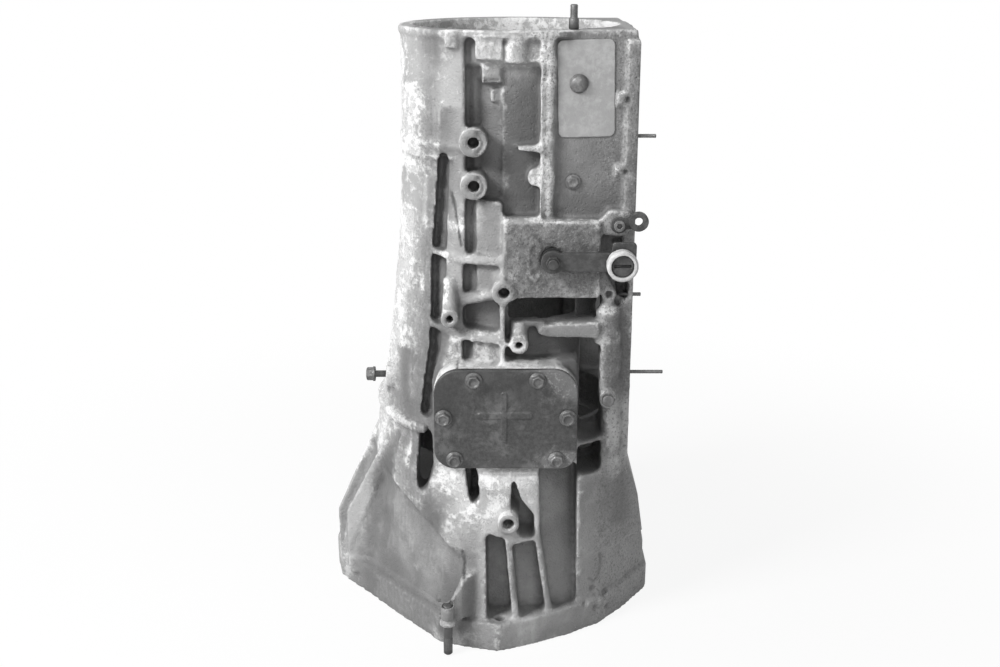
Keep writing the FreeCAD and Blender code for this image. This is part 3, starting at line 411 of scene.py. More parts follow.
# %% Waves, crust and rough places
waves = (0.5 * cloudy(place, 32, 1) + 0.38 * cloudy(place, 12, 5) + 0.3 * lattice_noise(place, 5.2, 9)
         + 0.16 * lattice_noise(place, 3.1, 11))
flank = rise(x, -66, -86) * rise(y, 70, 20) * rise(z, 110, 190)
land_under = band(z, 118, 160, 205, 232) * rise(x, 32, 12) * front
crusty = np.clip(flank + land_under, 0, 1) * rise(cloudy(place, 22, 21), -0.15, 0.35)
crust = crusty * (0.5 * rise(lattice_noise(place, 6.5, 31), -0.1, 0.5) + 0.35 * lattice_noise(place, 3.4, 33))
right_tube = rise(x, 82, 88) * band(z, 170, 180, 392, 400) * front
tube_waves = 0.9 * right_tube * (lattice_noise(place, 8, 105) + cloudy(place, 17, 61))
column = band(x, 14, 19, 40, 44) * rise(z, 466, 472) * rise(y, -106, -112)
column_waves = 1.1 * column * cloudy(place, 13, 71)
pad_grain = 0.6 * lattice_noise(place, 4.6, 101) + 0.25 * lattice_noise(place, 7.5, 103)
pad_waves = selector_pad(x, z) * rise(y, -122, -128) * pad_grain
edge_waves = 0.7 * rise(z, 40, 20) * (1 - flat_ends) * cloudy(place, 26, 65)
calm = cast * (1 - 0.6 * discs(place, BOSS_FACES, 6, 2) * front)
push = calm * (waves + crust + pad_waves + tube_waves + column_waves + edge_waves)
print("waves reach", round(float(np.abs(push).max()), 1), "mm")

# %% Single marks
DIMPLES = [(87, 45, 5.0), (102, 34, 5.5), (91, 22, 4.5), (106, 15, 5.0), (78, 31, 4.0)]
PANEL_DEPTH, STEP_DEPTH, BORE_DEPTH, EYE_DEPTH, DIMPLE_DEPTH = 2.6, 3.2, 5.0, 2.2, 2.4
CRACK_DEPTH, ARC_HEIGHT, PARTING_HEIGHT = 0.5, 1.1, 0.7
from_left_edge = x + (195 - z) * 0.41 + 150
panel = below_crease(x, z) * rise(x, -58, -64) * rise(z, 40, 45) * rise(from_left_edge, 10, 16) * front
recess_step = band(x, -44, -40, -16.5, -14.5) * band(z, 486, 492, 604, 612) * rise(y, -90, -96)
push -= PANEL_DEPTH * panel + STEP_DEPTH * recess_step * rise(-normal[:, 1], 0.7, 0.9)
for across, up, size in DIMPLES:
    push -= DIMPLE_DEPTH * rise(np.hypot(x - across, z - up), size, size * 0.3) * front
uneven = wobble(place)
for line in CRACKS:
    push -= CRACK_DEPTH * rise(line_distance(place, line) + uneven, 2.2, 0.4) * front
push -= CRACK_DEPTH * rise(line_distance(place, HOOK), 2.4, 0.8) * front
push -= EYE_DEPTH * discs(place, RAIL_EYES, 1.4, 0) * rise(y, -108, -112)
push -= BORE_DEPTH * discs(place, RIGHT_BORE, 1.4, 0) * rise(y, -118, -122)
push += PARTING_HEIGHT * rise(line_distance(place, PARTING) + uneven, 2.0, 0.8) * left_side(x, y)
push += ARC_HEIGHT * rise(arc_distance(x, z), 2.0, 0.8) * rise(y, -130, -133) * rise(x, 25, 23)
print("marks:", len(DIMPLES), "dimples,", len(CRACKS), "cracks,", len(RAIL_EYES), "eyes")

# %% The finished mesh of the case
SKIN_TRIANGLES = 198000
place = place + normal * push[:, None]
even.vertices.foreach_set("co", (place / 1000).ravel())
even.update()
skin = thinned(even, SKIN_TRIANGLES)
bpy.data.meshes.remove(even)
print("skin", len(skin.polygons), "faces", len(skin.vertices), "points")

# %% [markdown]
# ## Where the skin is clean, worn, greasy or corroded, and where light and shade are painted
# The finish of a casting follows its shape: grease stays in the recesses, edges are rubbed bright,
# and white oxide grows on the flank that stood in the wet. Painted shade darkens the recesses,
# hollows, holes and sides away from the lamp, and painted light brightens faces turned left and up
# and the bays. Each of these is worked out from the shape itself and kept as a value of every point,
# which the finish then reads. A picture laid over the case would fit one side only, while these
# values go all the way round.

# %% Bulges and depth
GRID_ROWS, GRID_COLUMNS, GRID_START = 141, 112, -280


def depth_below(points, cell=5.0, reach=4):
    """How far each point lies below the outermost metal near it, on the side where that is least."""
    depth = np.full(len(points), 1e9)
    rows = np.clip(points[:, 2] // cell, 0, GRID_ROWS - 1).astype(int)
    for across, away, sign in ((0, 1, -1), (0, 1, 1), (1, 0, -1), (1, 0, 1)):
        columns = np.clip((points[:, across] - GRID_START) // cell, 0, GRID_COLUMNS - 1).astype(int)
        outward = sign * points[:, away]
        outer = np.full((GRID_ROWS, GRID_COLUMNS), -1e9)
        np.maximum.at(outer, (rows, columns), outward)
        for axis in (0, 1):
            outer = np.max([np.roll(outer, shift, axis) for shift in range(-reach, reach + 1)], axis=0)
        depth = np.minimum(depth, outer[rows, columns] - outward)
    return depth


place = read_vectors(skin.vertices, "co") * 1000
normal = read_vectors(skin.vertices, "normal")
x, y, z = place.T
front = front_of(place)
radius = np.hypot(x, y)
edges = edges_of(skin)
middle = np.stack([neighbour_mean(edges, axis) for axis in place.T], axis=1)
bulge = spread(edges, np.einsum("ij,ij->i", place - middle, normal), 2)
depth = depth_below(place)
print("deepest recess", round(float(depth.max())), "mm")

# %% Regions of the case, seen from the front
faces_cut = discs(place, BOSS_FACES, 5, 3) * front * rise(-normal[:, 1], 0.35, 0.6)
panel = below_crease(x, z) * rise(x, -56, -62) * rise(y, -20, -60) * rise(z, 38, 46)
column = band(x, 10, 16, 40, 44) * rise(z, 462, 470) * front
column *= np.clip(rise(depth, 12, 6) + rise(z, 502, 490) * rise(y, -112, -116), 0, 1)
rim_forms = band(z, 596, 604, 650, 656) * band(x, -48, -44, 40, 44) * rise(depth, 12, 6) * front
# Painted light on the top of the cover pad
cover_top = band(z, 302, 308, 335, 345) * band(x, -92, -86, 46, 54) * rise(y, -118, -124)
inside_top = rise(z, 585, 640) * rise(radius, 116, 112)
outer_back = rise(y, -60, -20) * rise(radius, 113, 118)
right_tube = rise(x, 84, 90) * front
# Painted shade: the right bore is painted dark as the shade inside it
right_bore = discs(place, RIGHT_BORE, 1.8, 0.6) * front
# Painted shade on the right, deeper part of the upper recess, turned from the lamp
deep_right = band(x, -15, -13, 22, 26) * band(z, 478, 486, 606, 612) * rise(y, -113, -109) * front
# Painted light in the deep parts of the bays of the bell, which stand in shade
bays = band(x, -45, -38, 58, 66) * rise(z, 206, 196) * front
last_bay = band(x, 20, 24, 56, 60) * rise(z - 0.35 * (x - 24), 112, 128) * rise(z, 206, 200) * front
pad = selector_pad(x, z) * front
uneven = wobble(place)
# The seam ridge gets a painted highlight, and a line just below it a painted shadow
above_seam = rise(line_distance(place, PARTING) + 0.5 * uneven, 2.2, 0.8) * left_side(x, y)
seam_shift = np.array([0, 0, 3.6])
below_seam = rise(line_distance(place + seam_shift, PARTING) + 0.5 * uneven, 1.9, 0.7) * left_side(x, y)
print("points on the selector pad", int((pad > 0.5).sum()))

# %% White oxide, and painted light on faces turned left and up
STEMS = [(-45, 545), (-45, 501), (-13, 392), (-35, 385), (-70, 385), (3, 345), (-62, 440), (98, 386)]
dull_band = band(z, 462, 474, 500, 512) + 0.4 * rise(z, 570, 590)
flank = rise(x, -70, -84) * rise(y, 80, 20) * rise(z, 100, 200)
flank *= 1 - 0.85 * rise(cloudy(place, 62, 91) + 0.9 * dull_band - 0.25 * rise(z, 440, 400), 0.24, 0.42)
# Painted light on faces turned to the left, toward the lamp
left_facing = rise(-normal[:, 0], 0.15, 0.6)
land_under = band(z, 118, 165, 215, 240) * rise(x, 38, 8) * front
# Painted light on faces turned up
pads_up = rise(normal[:, 2], 0.3, 0.7) * front * rise(z, 60, 120)
stems = sum(rise(np.hypot(x - across, (z - up) * 0.7), 19, 12) for across, up in STEMS)
stems *= front * rise(depth, 12, 4)
# Painted highlight on the side of the tube turned to the left, stronger low down
tube = right_tube * band(z, 170, 200, 380, 400) * rise(-normal[:, 0], -0.1, 0.5)
tube *= 0.25 + 0.5 * rise(z, 270, 235)
# Painted light on the top of the web at the foot
web_top = rise(normal[:, 2], 0.2, 0.5) * band(z, 48, 52, 98, 104) * rise(y, -158, -164) * rise(x, -28, -34)
rim_left = band(z, 600, 608, 650, 654) * band(x, -46, -43, -16, -12) * rise(depth, 14, 8) * front
oxide_and_light = 1.1 * flank + 1.1 * land_under + tube + 0.6 * web_top + 0.55 * left_facing
oxide_and_light = np.clip(oxide_and_light + 0.75 * pads_up + stems + column + 0.75 * rim_forms, 0, 1)
oxide_and_light *= rise(depth, 26, 10) * (1 - 0.9 * panel) * (1 - 0.75 * faces_cut)
oxide_and_light = np.clip(oxide_and_light + 0.85 * cover_top + 0.85 * inside_top + 0.9 * rim_left, 0, 1) * (1 - right_bore)
# Painted highlight along the seam ridge
oxide_and_light = np.clip(oxide_and_light + 0.9 * above_seam, 0, 1)
print("oxide on average", round(float(oxide_and_light.mean()), 2))

# %% Grease and painted shade
right_wall = rise(x, 58, 66) * rise(z, 125, 110) * front
right_recess = rise(x, -10, 30) * band(z, 190, 215, 366, 384) * rise(depth, 5, 14) * front
dry = np.clip(inside_top + right_wall + 0.8 * cover_top + column, 0, 1)
# Grease and painted shade in the recesses, darker the deeper they go
grease_and_shade = rise(depth, 9, 24) * (1 - dry) + 0.3 * deep_right
# More in the right recess and the right bore, which is painted shade; much less in the bays
grease_and_shade = np.clip(grease_and_shade + 0.7 * right_recess + right_bore, 0, 1) * (1 - 0.85 * bays)
grease_and_shade *= 1 - 0.6 * outer_back
print("grease on average", round(float(grease_and_shade.mean()), 2))

# %% Tone of the bare metal
flat_panel = rise(x, 38, 42) * rise(z, 466, 474) * front
# Painted shade on the side of the tube turned to the right, away from the lamp
dark_tube = right_tube * band(z, 270, 276, 372, 380) * rise(normal[:, 0], -0.7, 0.0)
pale_tube = right_tube * band(z, 180, 196, 258, 268)
under_pad = band(x, 20, 26, 86, 90) * band(z, 334, 338, 358, 362) * front
round_pad = band(x, -15, -12, 86, 92) * band(z, 383, 386, 464, 470) * front
low_right = rise(x, 58, 66) * rise(z, 190, 170) * front
arc = arc_distance(x, z)
arc_tone = (0.3 * rise(arc, 1.6, 0.6) - 0.25 * rise(arc, 3.4, 2.4)) * pad * rise(x, 25, 23)
tone = 1.0 - 0.32 * flat_panel - 0.45 * dark_tube + 0.35 * pale_tube - 0.25 * under_pad - 0.42 * round_pad
# Random tone on the pad, the right bore painted dark as its shade, and the cast arc
tone += pad * (0.22 * lattice_noise(place, 4.2, 107) + 0.02) - 0.7 * right_bore + arc_tone
# Darker low on the right, and painted shade in the right of the upper recess
tone -= 0.12 * low_right + (0.48 + 0.2 * rise(z, 612, 480)) * deep_right
# Painted light in the deep parts of the bays; the panel and the last bay lighter
tone += 0.5 * bays * rise(depth, 6, 10) * rise(x, 26, 18) + 0.42 * panel + 0.3 * last_bay
print("tone from", round(float(tone.min()), 2), "to", round(float(tone.max()), 2))

# %% Wear and painted highlights, pits, and cracks with painted shade
# Painted highlight: short bright dashes along the step in the upper recess
HIGHLIGHT_DASHES = [[(-15.5, 600), (-15.5, 586)], [(-15.5, 562), (-15.5, 548)], [(-15.5, 517), (-15.5, 505)]]
pitted = np.clip(pad + 0.8 * right_tube + 0.7 * column + 0.45 * flank + 0.5 * rim_forms, 0, 1)
right_side = rise(x, 106, 114) * rise(y, -112, -104)
rubbed = (1 - faces_cut) * (1 - 0.85 * right_side) * (1 - 0.5 * outer_back)
highlight_dashes = sum(rise(line_distance(place, dash), 2.2, 1.0) for dash in HIGHLIGHT_DASHES) * front
wear_and_highlight = np.clip(rise(bulge, 0.14, 0.5) * rubbed + highlight_dashes, 0, 1)
crack_and_shade = sum(rise(line_distance(place, line) + uneven, 1.9, 0.3) for line in CRACKS) * front
# Painted shadow just below the seam ridge, added to the cracks and the hooked groove
crack_and_shade += 0.5 * rise(line_distance(place, HOOK), 2.4, 0.8) * front + 0.5 * below_seam
# The eyes in the rail are painted dark as the shade inside them
crack_and_shade += discs(place, RAIL_EYES, 1.2, 0.2) * rise(y, -106, -110)
print("worn points", int((wear_and_highlight > 0.5).sum()))

# %% The values kept, and the case in its place
DRESSED = []


def piece(name, mesh, body, slot, *nodes):
    """Put a finished mesh in the scene in the place of the nodes that it dresses."""
    mesh.materials.clear()
    obj = bpy.data.objects.new(name, mesh)
    bpy.context.collection.objects.link(obj)
    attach(obj, body)
    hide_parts(*nodes)
    mesh.polygons.foreach_set("use_smooth", np.ones(len(mesh.polygons), bool))
    DRESSED.append((obj, slot))
    print(name, len(mesh.polygons), "faces")


# The concave places carry painted shade, darker where the skin curves inward
point_values = {"oxide_and_light": oxide_and_light, "grease_and_shade": grease_and_shade, "tone": tone, "pitted": pitted, "wear_and_highlight": wear_and_highlight,
                "hollow_shade": rise(-bulge, 0.1, 0.4), "crack_and_shade": crack_and_shade}
for name, numbers in point_values.items():
    skin.attributes.new(name, "FLOAT", "POINT").data.foreach_set("value", numbers.astype(np.float32))
piece("case_cast", skin, "housing", "cast_alloy", "case")

# %% [markdown]
# ## Fasteners and studs
# A bolt head, a dome or a stud is a turned form, and a forged head changes from a circle to a
# hexagon and back on its way up. So each is a stack of rings: every ring has a height, a radius and
# a share of hexagon, and the rings are joined by faces. A thread is a wave on the radius that
# climbs by one pitch in each turn. Heads are dished, as forged flange bolts are.

# %% Turned forms
# For each way that a form may point: its axis, and the two directions across it
AIMS = {
    "front": ((0, -1, 0), (1, 0, 0), (0, 0, 1)),
    "left": ((-1, 0, 0), (0, -1, 0), (0, 0, 1)),
    "right": ((1, 0, 0), (0, 1, 0), (0, 0, 1)),
    "up": ((0, 0, 1), (1, 0, 0), (0, 1, 0)),
}
LEVELS_A_PITCH = 6


def threaded_rows(rows, first, last, pitch):
    """The rows with close, even levels between the first and the last height of a thread."""
    level = np.linspace(first, last, max(4, int((last - first) / pitch * LEVELS_A_PITCH)))
    radius = np.interp(level, rows[:, 0], rows[:, 1])
    between = np.stack([level, radius, level * 0], 1)
    return np.concatenate([rows[rows[:, 0] <= first], between, rows[rows[:, 0] >= last]])


def turned_form(rows, at, toward, turn=0.0, thread=None, steps=48):
    """Points and faces of rings of height, radius and share of hexagon, closed by a point at each end.

    A thread is its first and last height, its pitch and its depth: the radius falls by
    depth (1 - cos(2 pi height / pitch - angle)) / 2.
    """
    along, across, other = np.array(AIMS[toward], float)
    rows = np.array([row if len(row) == 3 else row + (0.0,) for row in rows], float)
    if thread:
        first, last, pitch, depth = thread
        rows = threaded_rows(rows, first, last, pitch)
    angle = np.linspace(0, 2 * np.pi, steps, endpoint=False)
    corner = 1 / np.cos((angle + np.pi / 6) % (np.pi / 3) - np.pi / 6)
    height, radius, share = rows.T[:, :, None]
    radius = radius * (1 - share + share * corner)
    if thread:
        wave = 0.5 - 0.5 * np.cos(2 * np.pi * height / pitch - angle)
        radius = radius - depth * wave * ((height > first) & (height < last))
    sideways = np.cos(angle + turn)[None, :, None] * across + np.sin(angle + turn)[None, :, None] * other
    points = (np.array(at, float) + height[:, :, None] * along + radius[:, :, None] * sideways).reshape(-1, 3)
    ends = np.array(at, float) + rows[[0, -1], 0][:, None] * along
    grid = np.arange(len(rows) * steps).reshape(len(rows), steps)
    after = np.roll(grid, -1, axis=1)
    faces = np.stack([grid[:-1], after[:-1], after[1:], grid[1:]], axis=-1).reshape(-1, 4).tolist()
    low = len(points)
    faces += [(low, b, a) for a, b in zip(grid[0], after[0])]
    faces += [(low + 1, a, b) for a, b in zip(grid[-1], after[-1])]
    return np.concatenate([points, ends]), faces


def fastener(name, slot, node, forms):
    """Dress a node of the housing with one mesh, in metres, of turned forms in millimetres."""
    points, faces, start = [], [], 0
    for part_points, part_faces in forms:
        points.append(part_points)
        faces += [[int(corner) + start for corner in face] for face in part_faces]
        start += len(part_points)
    mesh = bpy.data.meshes.new(name)
    mesh.from_pydata((np.concatenate(points) / 1000).tolist(), [], faces)
    mesh.update()
    piece(name, mesh, "housing", slot, node)


# %% Bolt heads
# Where each fastener's axis meets its seat
SEATS = {
    "plate_bolt": (62.5, -113.6, 604.2),
    "pressure_plug": (58.3, -112, 503.5),
    "column_plug": (98.6, -139, 271.7),
    "side_bolt": (-124, -60, 274),
    "rear_stud": (56.84, -101.7, 657),
    "foot_stud": (-74, -203, 0),
}
COVER_FACE = -160.8
COVER_BOLTS = [(-45.2, 302.0), (22.2, 302.0), (54.4, 260.1), (43.1, 212.3), (-66.1, 212.3), (-77.4, 260.1)]
# Profiles: rows of height, radius and, where the ring isn't round, share of hexagon
FLANGE_HEAD = [(-20, 4.7), (0, 4.7), (0.02, 8.9), (0.5, 9.3), (1.3, 9.2), (2.0, 8.1), (2.5, 6.7, 0.8),
               (3.0, 6.35, 1.0), (7.4, 6.35, 1.0), (8.2, 6.1, 0.6), (8.6, 5.5), (8.5, 4.7), (7.5, 4.3),
               (7.2, 2.6), (7.1, 0.8)]
DOME_HEAD = [(-14, 3.0), (0, 3.0), (0.02, 9.0), (0.5, 9.6), (1.4, 9.5), (1.8, 8.7), (3.2, 8.3), (4.4, 7.2),
             (5.3, 5.3), (5.8, 3.0), (5.9, 1.0)]
PRESSURE_HEAD = [(-14, 5.0), (0, 5.0), (0.02, 7.9), (0.4, 8.2), (1.3, 8.1), (1.6, 7.3), (1.7, 5.5, 1.0),
                 (4.4, 5.5, 1.0), (5.0, 4.8, 0.2), (4.9, 3.2), (4.1, 2.4), (4.0, 0.6)]
COLUMN_HEAD = [(-14, 5.1), (0, 5.1), (0.02, 6.1), (0.3, 6.4), (2.9, 6.3), (3.5, 5.5), (3.3, 4.6),
               (3.0, 2.0), (3.0, 0.6)]
turns = np.random.default_rng(7).uniform(0, 1.05, len(COVER_BOLTS))
fastener("cover_heads", "steel_bolts", "cover_bolts", [
    turned_form(FLANGE_HEAD, (across, COVER_FACE, up), "front", turn)
    for (across, up), turn in zip(COVER_BOLTS, turns)])
fastener("plate_dome", "plug_steel", "plate_bolt", [turned_form(DOME_HEAD, SEATS["plate_bolt"], "front")])
fastener("pressure_head", "plug_steel", "pressure_plug", [
    turned_form(PRESSURE_HEAD, SEATS["pressure_plug"], "front", 0.3)])
fastener("column_head", "plug_steel", "column_plug", [
    turned_form(COLUMN_HEAD, SEATS["column_plug"], "front")])

# %% Studs and the side bolt
RAIL_FACE, RAIL_LINE = 124, -109
RAIL_STUDS = [(550.8, 19.0), (381.8, 9.0), (293.8, 36.0)]
SIDE_BOLT = [(0, 3.8), (34.9, 3.8), (35, 8.1), (35.5, 8.4), (37.4, 8.3), (38, 7.2), (38.3, 6.5, 1.0),
             (43.8, 6.5, 1.0), (44.8, 6.0, 0.4), (45, 4.8), (44, 3.6), (43.6, 1.0)]
RIM_STUD = [(-18, 3.5), (0, 3.5), (0.05, 4.9), (0.5, 5.2), (10.4, 5.2), (11, 4.5), (11.4, 4.0), (23, 4.0),
            (24.4, 3.0), (24.5, 1.0)]
FOOT_STUD = [(1.0, 3.4), (2.4, 4.9), (20, 5.0), (20.6, 4.6), (22.5, 4.6), (23, 5.0), (59.6, 5.0),
             (60.5, 4.2), (60.4, 1.5)]
# Threads: first and last height, pitch and depth
SIDE_THREAD = (0.5, 20.0, 1.25, 0.55)
RIM_THREAD = (12.0, 22.8, 1.25, 0.5)


def rail_stud(up, out):
    """A threaded stud with a cut end, standing out of the pan rail at one height."""
    rows = [(-18, 2.1), (out - 0.6, 2.1), (out, 1.5), (out + 0.01, 0.5)]
    return turned_form(rows, (RAIL_FACE, RAIL_LINE, up), "right", 0, (0.5, out - 0.8, 1.0, 0.32), 20)


fastener("side_screw", "stud_steel", "side_bolt", [
    turned_form(SIDE_BOLT, SEATS["side_bolt"], "left", 0.4, SIDE_THREAD)])
fastener("rim_stud", "stud_steel", "rear_stud", [
    turned_form(RIM_STUD, SEATS["rear_stud"], "up", 0, RIM_THREAD)])
fastener("rail_studs", "stud_steel", "pan_studs", [rail_stud(up, out) for up, out in RAIL_STUDS])
fastener("foot_pin", "stud_steel", "foot_stud", [turned_form(FOOT_STUD, SEATS["foot_stud"], "up")])

# %% [markdown]
# ## Pressed, forged and moulded pieces
# The cover, the bare plate, the bracket, the lever and its bushing are not turned. Each takes the
# same way as the case, with smaller faces: an even skin on its own solid, rounded corners, and the
# slow waves that pressing, heat and use leave. The cover also keeps a scratch beside its cross.

# %% Rounded and uneven copies
def worn_copy(name, node, body, slot, step, faces, waves, marks=None):
    """An even, rounded and slightly wavy copy of one node; waves are pairs of cell and strength."""
    even = even_skin(merged(node), step, 2)
    place = read_vectors(even.vertices, "co") * 1000
    normal = read_vectors(even.vertices, "normal")
    push = sum(strength * cloudy(place, cell, 40 + number) for number, (cell, strength) in enumerate(waves))
    if marks:
        push = push + marks(place, normal)
    even.vertices.foreach_set("co", ((place + normal * push[:, None]) / 1000).ravel())
    even.update()
    piece(name, thinned(even, faces), body, slot, node)


COVER_MIDDLE, COVER_HALF = np.array([-11.5, 257.5]), np.array([66, 46])
SCRATCH = [(-46, 284), (-44, 272), (-48, 258)]


def cover_marks(place, normal):
    """A scratch beside the cross, and a middle pressed in a little inside the cover's edges."""
    scratch = 0.5 * rise(line_distance(place, SCRATCH), 1.6, 0.5)
    from_edge = np.max(np.abs(place[:, [0, 2]] - COVER_MIDDLE) - COVER_HALF, axis=1)
    return rise(-normal[:, 1], 0.6, 0.9) * (scratch - 0.7 * rise(from_edge, 0, -16))


worn_copy("cover_pressed", "pto_cover", "housing", "dark_steel", step=0.0009, faces=60000,
          waves=[(38, 0.45), (9, 0.2)], marks=cover_marks)
worn_copy("plate_bent", "bare_plate", "housing", "plate", step=0.0006, faces=16000,
          waves=[(42, 0.8), (12, 0.16)])
worn_copy("lever_forged", "selector_lever", "selector", "lever_steel", step=0.0007, faces=16000,
          waves=[(22, 0.35), (6, 0.16)])
worn_copy("bushing_moulded", "lever_bushing", "selector", "bushing_plastic", step=0.0007, faces=16000,
          waves=[(11, 0.5), (4, 0.25)])
worn_copy("pin_end", "cable_pin", "selector", "lever_steel", step=0.0006, faces=8000, waves=[(9, 0.3)])
worn_copy("bracket_pressed", "line_bracket", "housing", "lever_steel", step=0.0006, faces=12000,
          waves=[(14, 0.4), (5, 0.15)])

# %% [markdown]
# ## Finishes that several metals share
# The finishes of cast metal share three things: a fine grain from the sand or the die, edges that
# rubbing has brightened, and painted shade that darkens places which are closed in. Each is a node
# group with its own inputs, built once and placed in every metal with other values.

# %% Sums, steps and blends as nodes
def noise(tree, where, scale, detail=4.0, rough=0.55, distortion=0.0):
    """Cloudy noise between nought and one."""
    settings = {"Scale": scale, "Detail": detail, "Roughness": rough, "Distortion": distortion}
    return add(tree, "ShaderNodeTexNoise", settings, Vector=where).outputs["Fac"]


def ramp(tree, value, low, high, to_low=0.0, to_high=1.0):
    """A smooth step of a value from one range to another."""
    settings = {"interpolation_type": "SMOOTHSTEP", "From Min": low, "From Max": high,
                "To Min": to_low, "To Max": to_high}
    return add(tree, "ShaderNodeMapRange", settings, Value=value).outputs[0]


def calculate(tree, operation, first, second):
    """A math node on two values, of which the second may be a number."""
    if isinstance(second, (int, float)):
        return add(tree, "ShaderNodeMath", {"operation": operation, 1: second}, n0=first).outputs[0]
    return add(tree, "ShaderNodeMath", {"operation": operation}, n0=first, n1=second).outputs[0]


def times(tree, first, second):
    """One value times another."""
    return calculate(tree, "MULTIPLY", first, second)


def plus(tree, first, second):
    """One value plus another."""
    return calculate(tree, "ADD", first, second)


def blend(tree, share, first, second, way="MIX"):
    """A colour between two colours; each may be a grey number, and so may the share."""
    node = tree.nodes.new("ShaderNodeMix")
    node.data_type, node.blend_type = "RGBA", way
    if isinstance(share, float):
        node.inputs[0].default_value = share
    else:
        tree.links.new(share, node.inputs[0])
    for socket, colour in ((node.inputs[6], first), (node.inputs[7], second)):
        if isinstance(colour, (int, float)):
            socket.default_value = (colour, colour, colour, 1)
        else:
            tree.links.new(colour, socket)
    return node.outputs[2]


# %% Groups of grain, edges and painted shade
FLOAT = "NodeSocketFloat"
VECTOR = "NodeSocketVector"


def group(name, size_name, size, outputs):
    """A shader node group with a coordinate and one size as inputs, and named outputs."""
    made = bpy.data.node_groups.new(name, "ShaderNodeTree")
    made.interface.new_socket("Coordinate", in_out="INPUT", socket_type=VECTOR)
    made.interface.new_socket(size_name, in_out="INPUT", socket_type=FLOAT).default_value = size
    for label, kind in outputs:
        made.interface.new_socket(label, in_out="OUTPUT", socket_type=kind)
    start, end = made.nodes.new("NodeGroupInput"), made.nodes.new("NodeGroupOutput")
    return made, start.outputs["Coordinate"], start.outputs[size_name], end.inputs


# Grain: fine noise, pits and slow waves, as one height
grain_group, where, size, made_of = group("cast_grain", "Size", 400.0, [("Height", FLOAT), ("Cloud", FLOAT)])
fine = noise(grain_group, where, 420.0, 3.0, 0.6)
grain_group.links.new(size, fine.node.inputs["Scale"])
slow = noise(grain_group, where, 26.0, 4.0, 0.6)
pits = add(grain_group, "ShaderNodeTexVoronoi", {"Scale": 210.0}, Vector=where).outputs["Distance"]
height = times(grain_group, fine, ramp(grain_group, pits, 0.05, 0.3))
height = plus(grain_group, height, times(grain_group, slow, 0.6))
grain_group.links.new(height, made_of["Height"])
grain_group.links.new(noise(grain_group, where, 9.0, 6.0, 0.62), made_of["Cloud"])

# Edges: where the rounded normal leaves the flat one, the metal is rubbed bright
edge_group, where, width, made_of = group("edge_wear", "Width", 0.002, [("Mask", FLOAT), ("Normal", VECTOR)])
bevel = add(edge_group, "ShaderNodeBevel", {"samples": 6}, Radius=width)
flat = add(edge_group, "ShaderNodeNewGeometry")
dot = add(edge_group, "ShaderNodeVectorMath", {"operation": "DOT_PRODUCT"},
          n0=bevel.outputs[0], n1=flat.outputs["Normal"]).outputs["Value"]
broken = ramp(edge_group, noise(edge_group, where, 60.0, 4.0, 0.6), 0.35, 0.62)
edge_group.links.new(times(edge_group, ramp(edge_group, dot, 0.995, 0.86), broken), made_of["Mask"])
edge_group.links.new(bevel.outputs[0], made_of["Normal"])

# Painted shade: darker where a place is closed in, broken up by noise
occlusion_shade_group, where, reach, made_of = group("recess_shade", "Reach", 0.05, [("Mask", FLOAT)])
open_air = add(occlusion_shade_group, "ShaderNodeAmbientOcclusion", {"samples": 6}, Distance=reach).outputs["AO"]
mottle = ramp(occlusion_shade_group, noise(occlusion_shade_group, where, 34.0, 5.0, 0.65), 0.25, 0.7, 0.45, 1.0)
occlusion_shade_group.links.new(times(occlusion_shade_group, ramp(occlusion_shade_group, open_air, 0.92, 0.3), mottle), made_of["Mask"])
print("groups:", [made.name for made in (grain_group, edge_group, occlusion_shade_group)])

# %% [markdown]
# ## The cast alloy
# The case is bare aluminium. Its left flank and the land under the side cover are chalky with
# white oxide, its recesses hold dark grease, and its skin has the grain of the mould. Painted light
# lies on faces turned left and up, and painted shade in the recesses, hollows and holes. The finish
# lays greys over each other in this order: skin, oxide with painted light, rubbed edges with painted
# highlights, pits, grease with painted shade, painted shade in hollows and closed-in places, and
# cracks with painted shade. Where each one goes is read from the values of the points.

# %% A material's start
def material_start(name):
    """A new material with its tree, object coordinates and a Principled shader joined to the output."""
    made = bpy.data.materials.new(name)
    tree = nodes_of(made)
    where = add(tree, "ShaderNodeTexCoord").outputs["Object"]
    shader = add(tree, "ShaderNodeBsdfPrincipled")
    add(tree, "ShaderNodeOutputMaterial", {}, Surface=shader.outputs[0])
    return made, tree, where, shader


def placed(tree, made, where, **values):
    """Put a shared group into a material and hand back its outputs."""
    node = tree.nodes.new("ShaderNodeGroup")
    node.node_tree = made
    tree.links.new(where, node.inputs["Coordinate"])
    for key, value in values.items():
        node.inputs[key].default_value = value
    return node.outputs


def value_of(tree, name):
    """One value that the points carry."""
    return add(tree, "ShaderNodeAttribute", {"attribute_name": name}).outputs["Fac"]


def bumped(tree, shader, height, strength, distance, **normal):
    """Give the shader's normal a bump from a height; a normal to start from may be named."""
    bump = add(tree, "ShaderNodeBump", {"Strength": strength, "Distance": distance}, Height=height, **normal)
    tree.links.new(bump.outputs[0], shader.inputs["Normal"])


# %% Cast alloy
SKIN_DARK, SKIN_LIGHT, SKIN_STREAK = 0.2, 0.33, 0.42
OXIDE_AND_LIGHT_FILM, OXIDE_AND_LIGHT_PATCH, OXIDE_AND_LIGHT_FULL = 0.5, 0.84, 0.78
RUBBED_AND_HIGHLIGHT, GREASE_AND_SHADE, HOLLOW_SHADE, OCCLUSION_SHADE, CRACK_AND_SHADE = 0.66, 0.1, 0.09, 0.085, 0.03


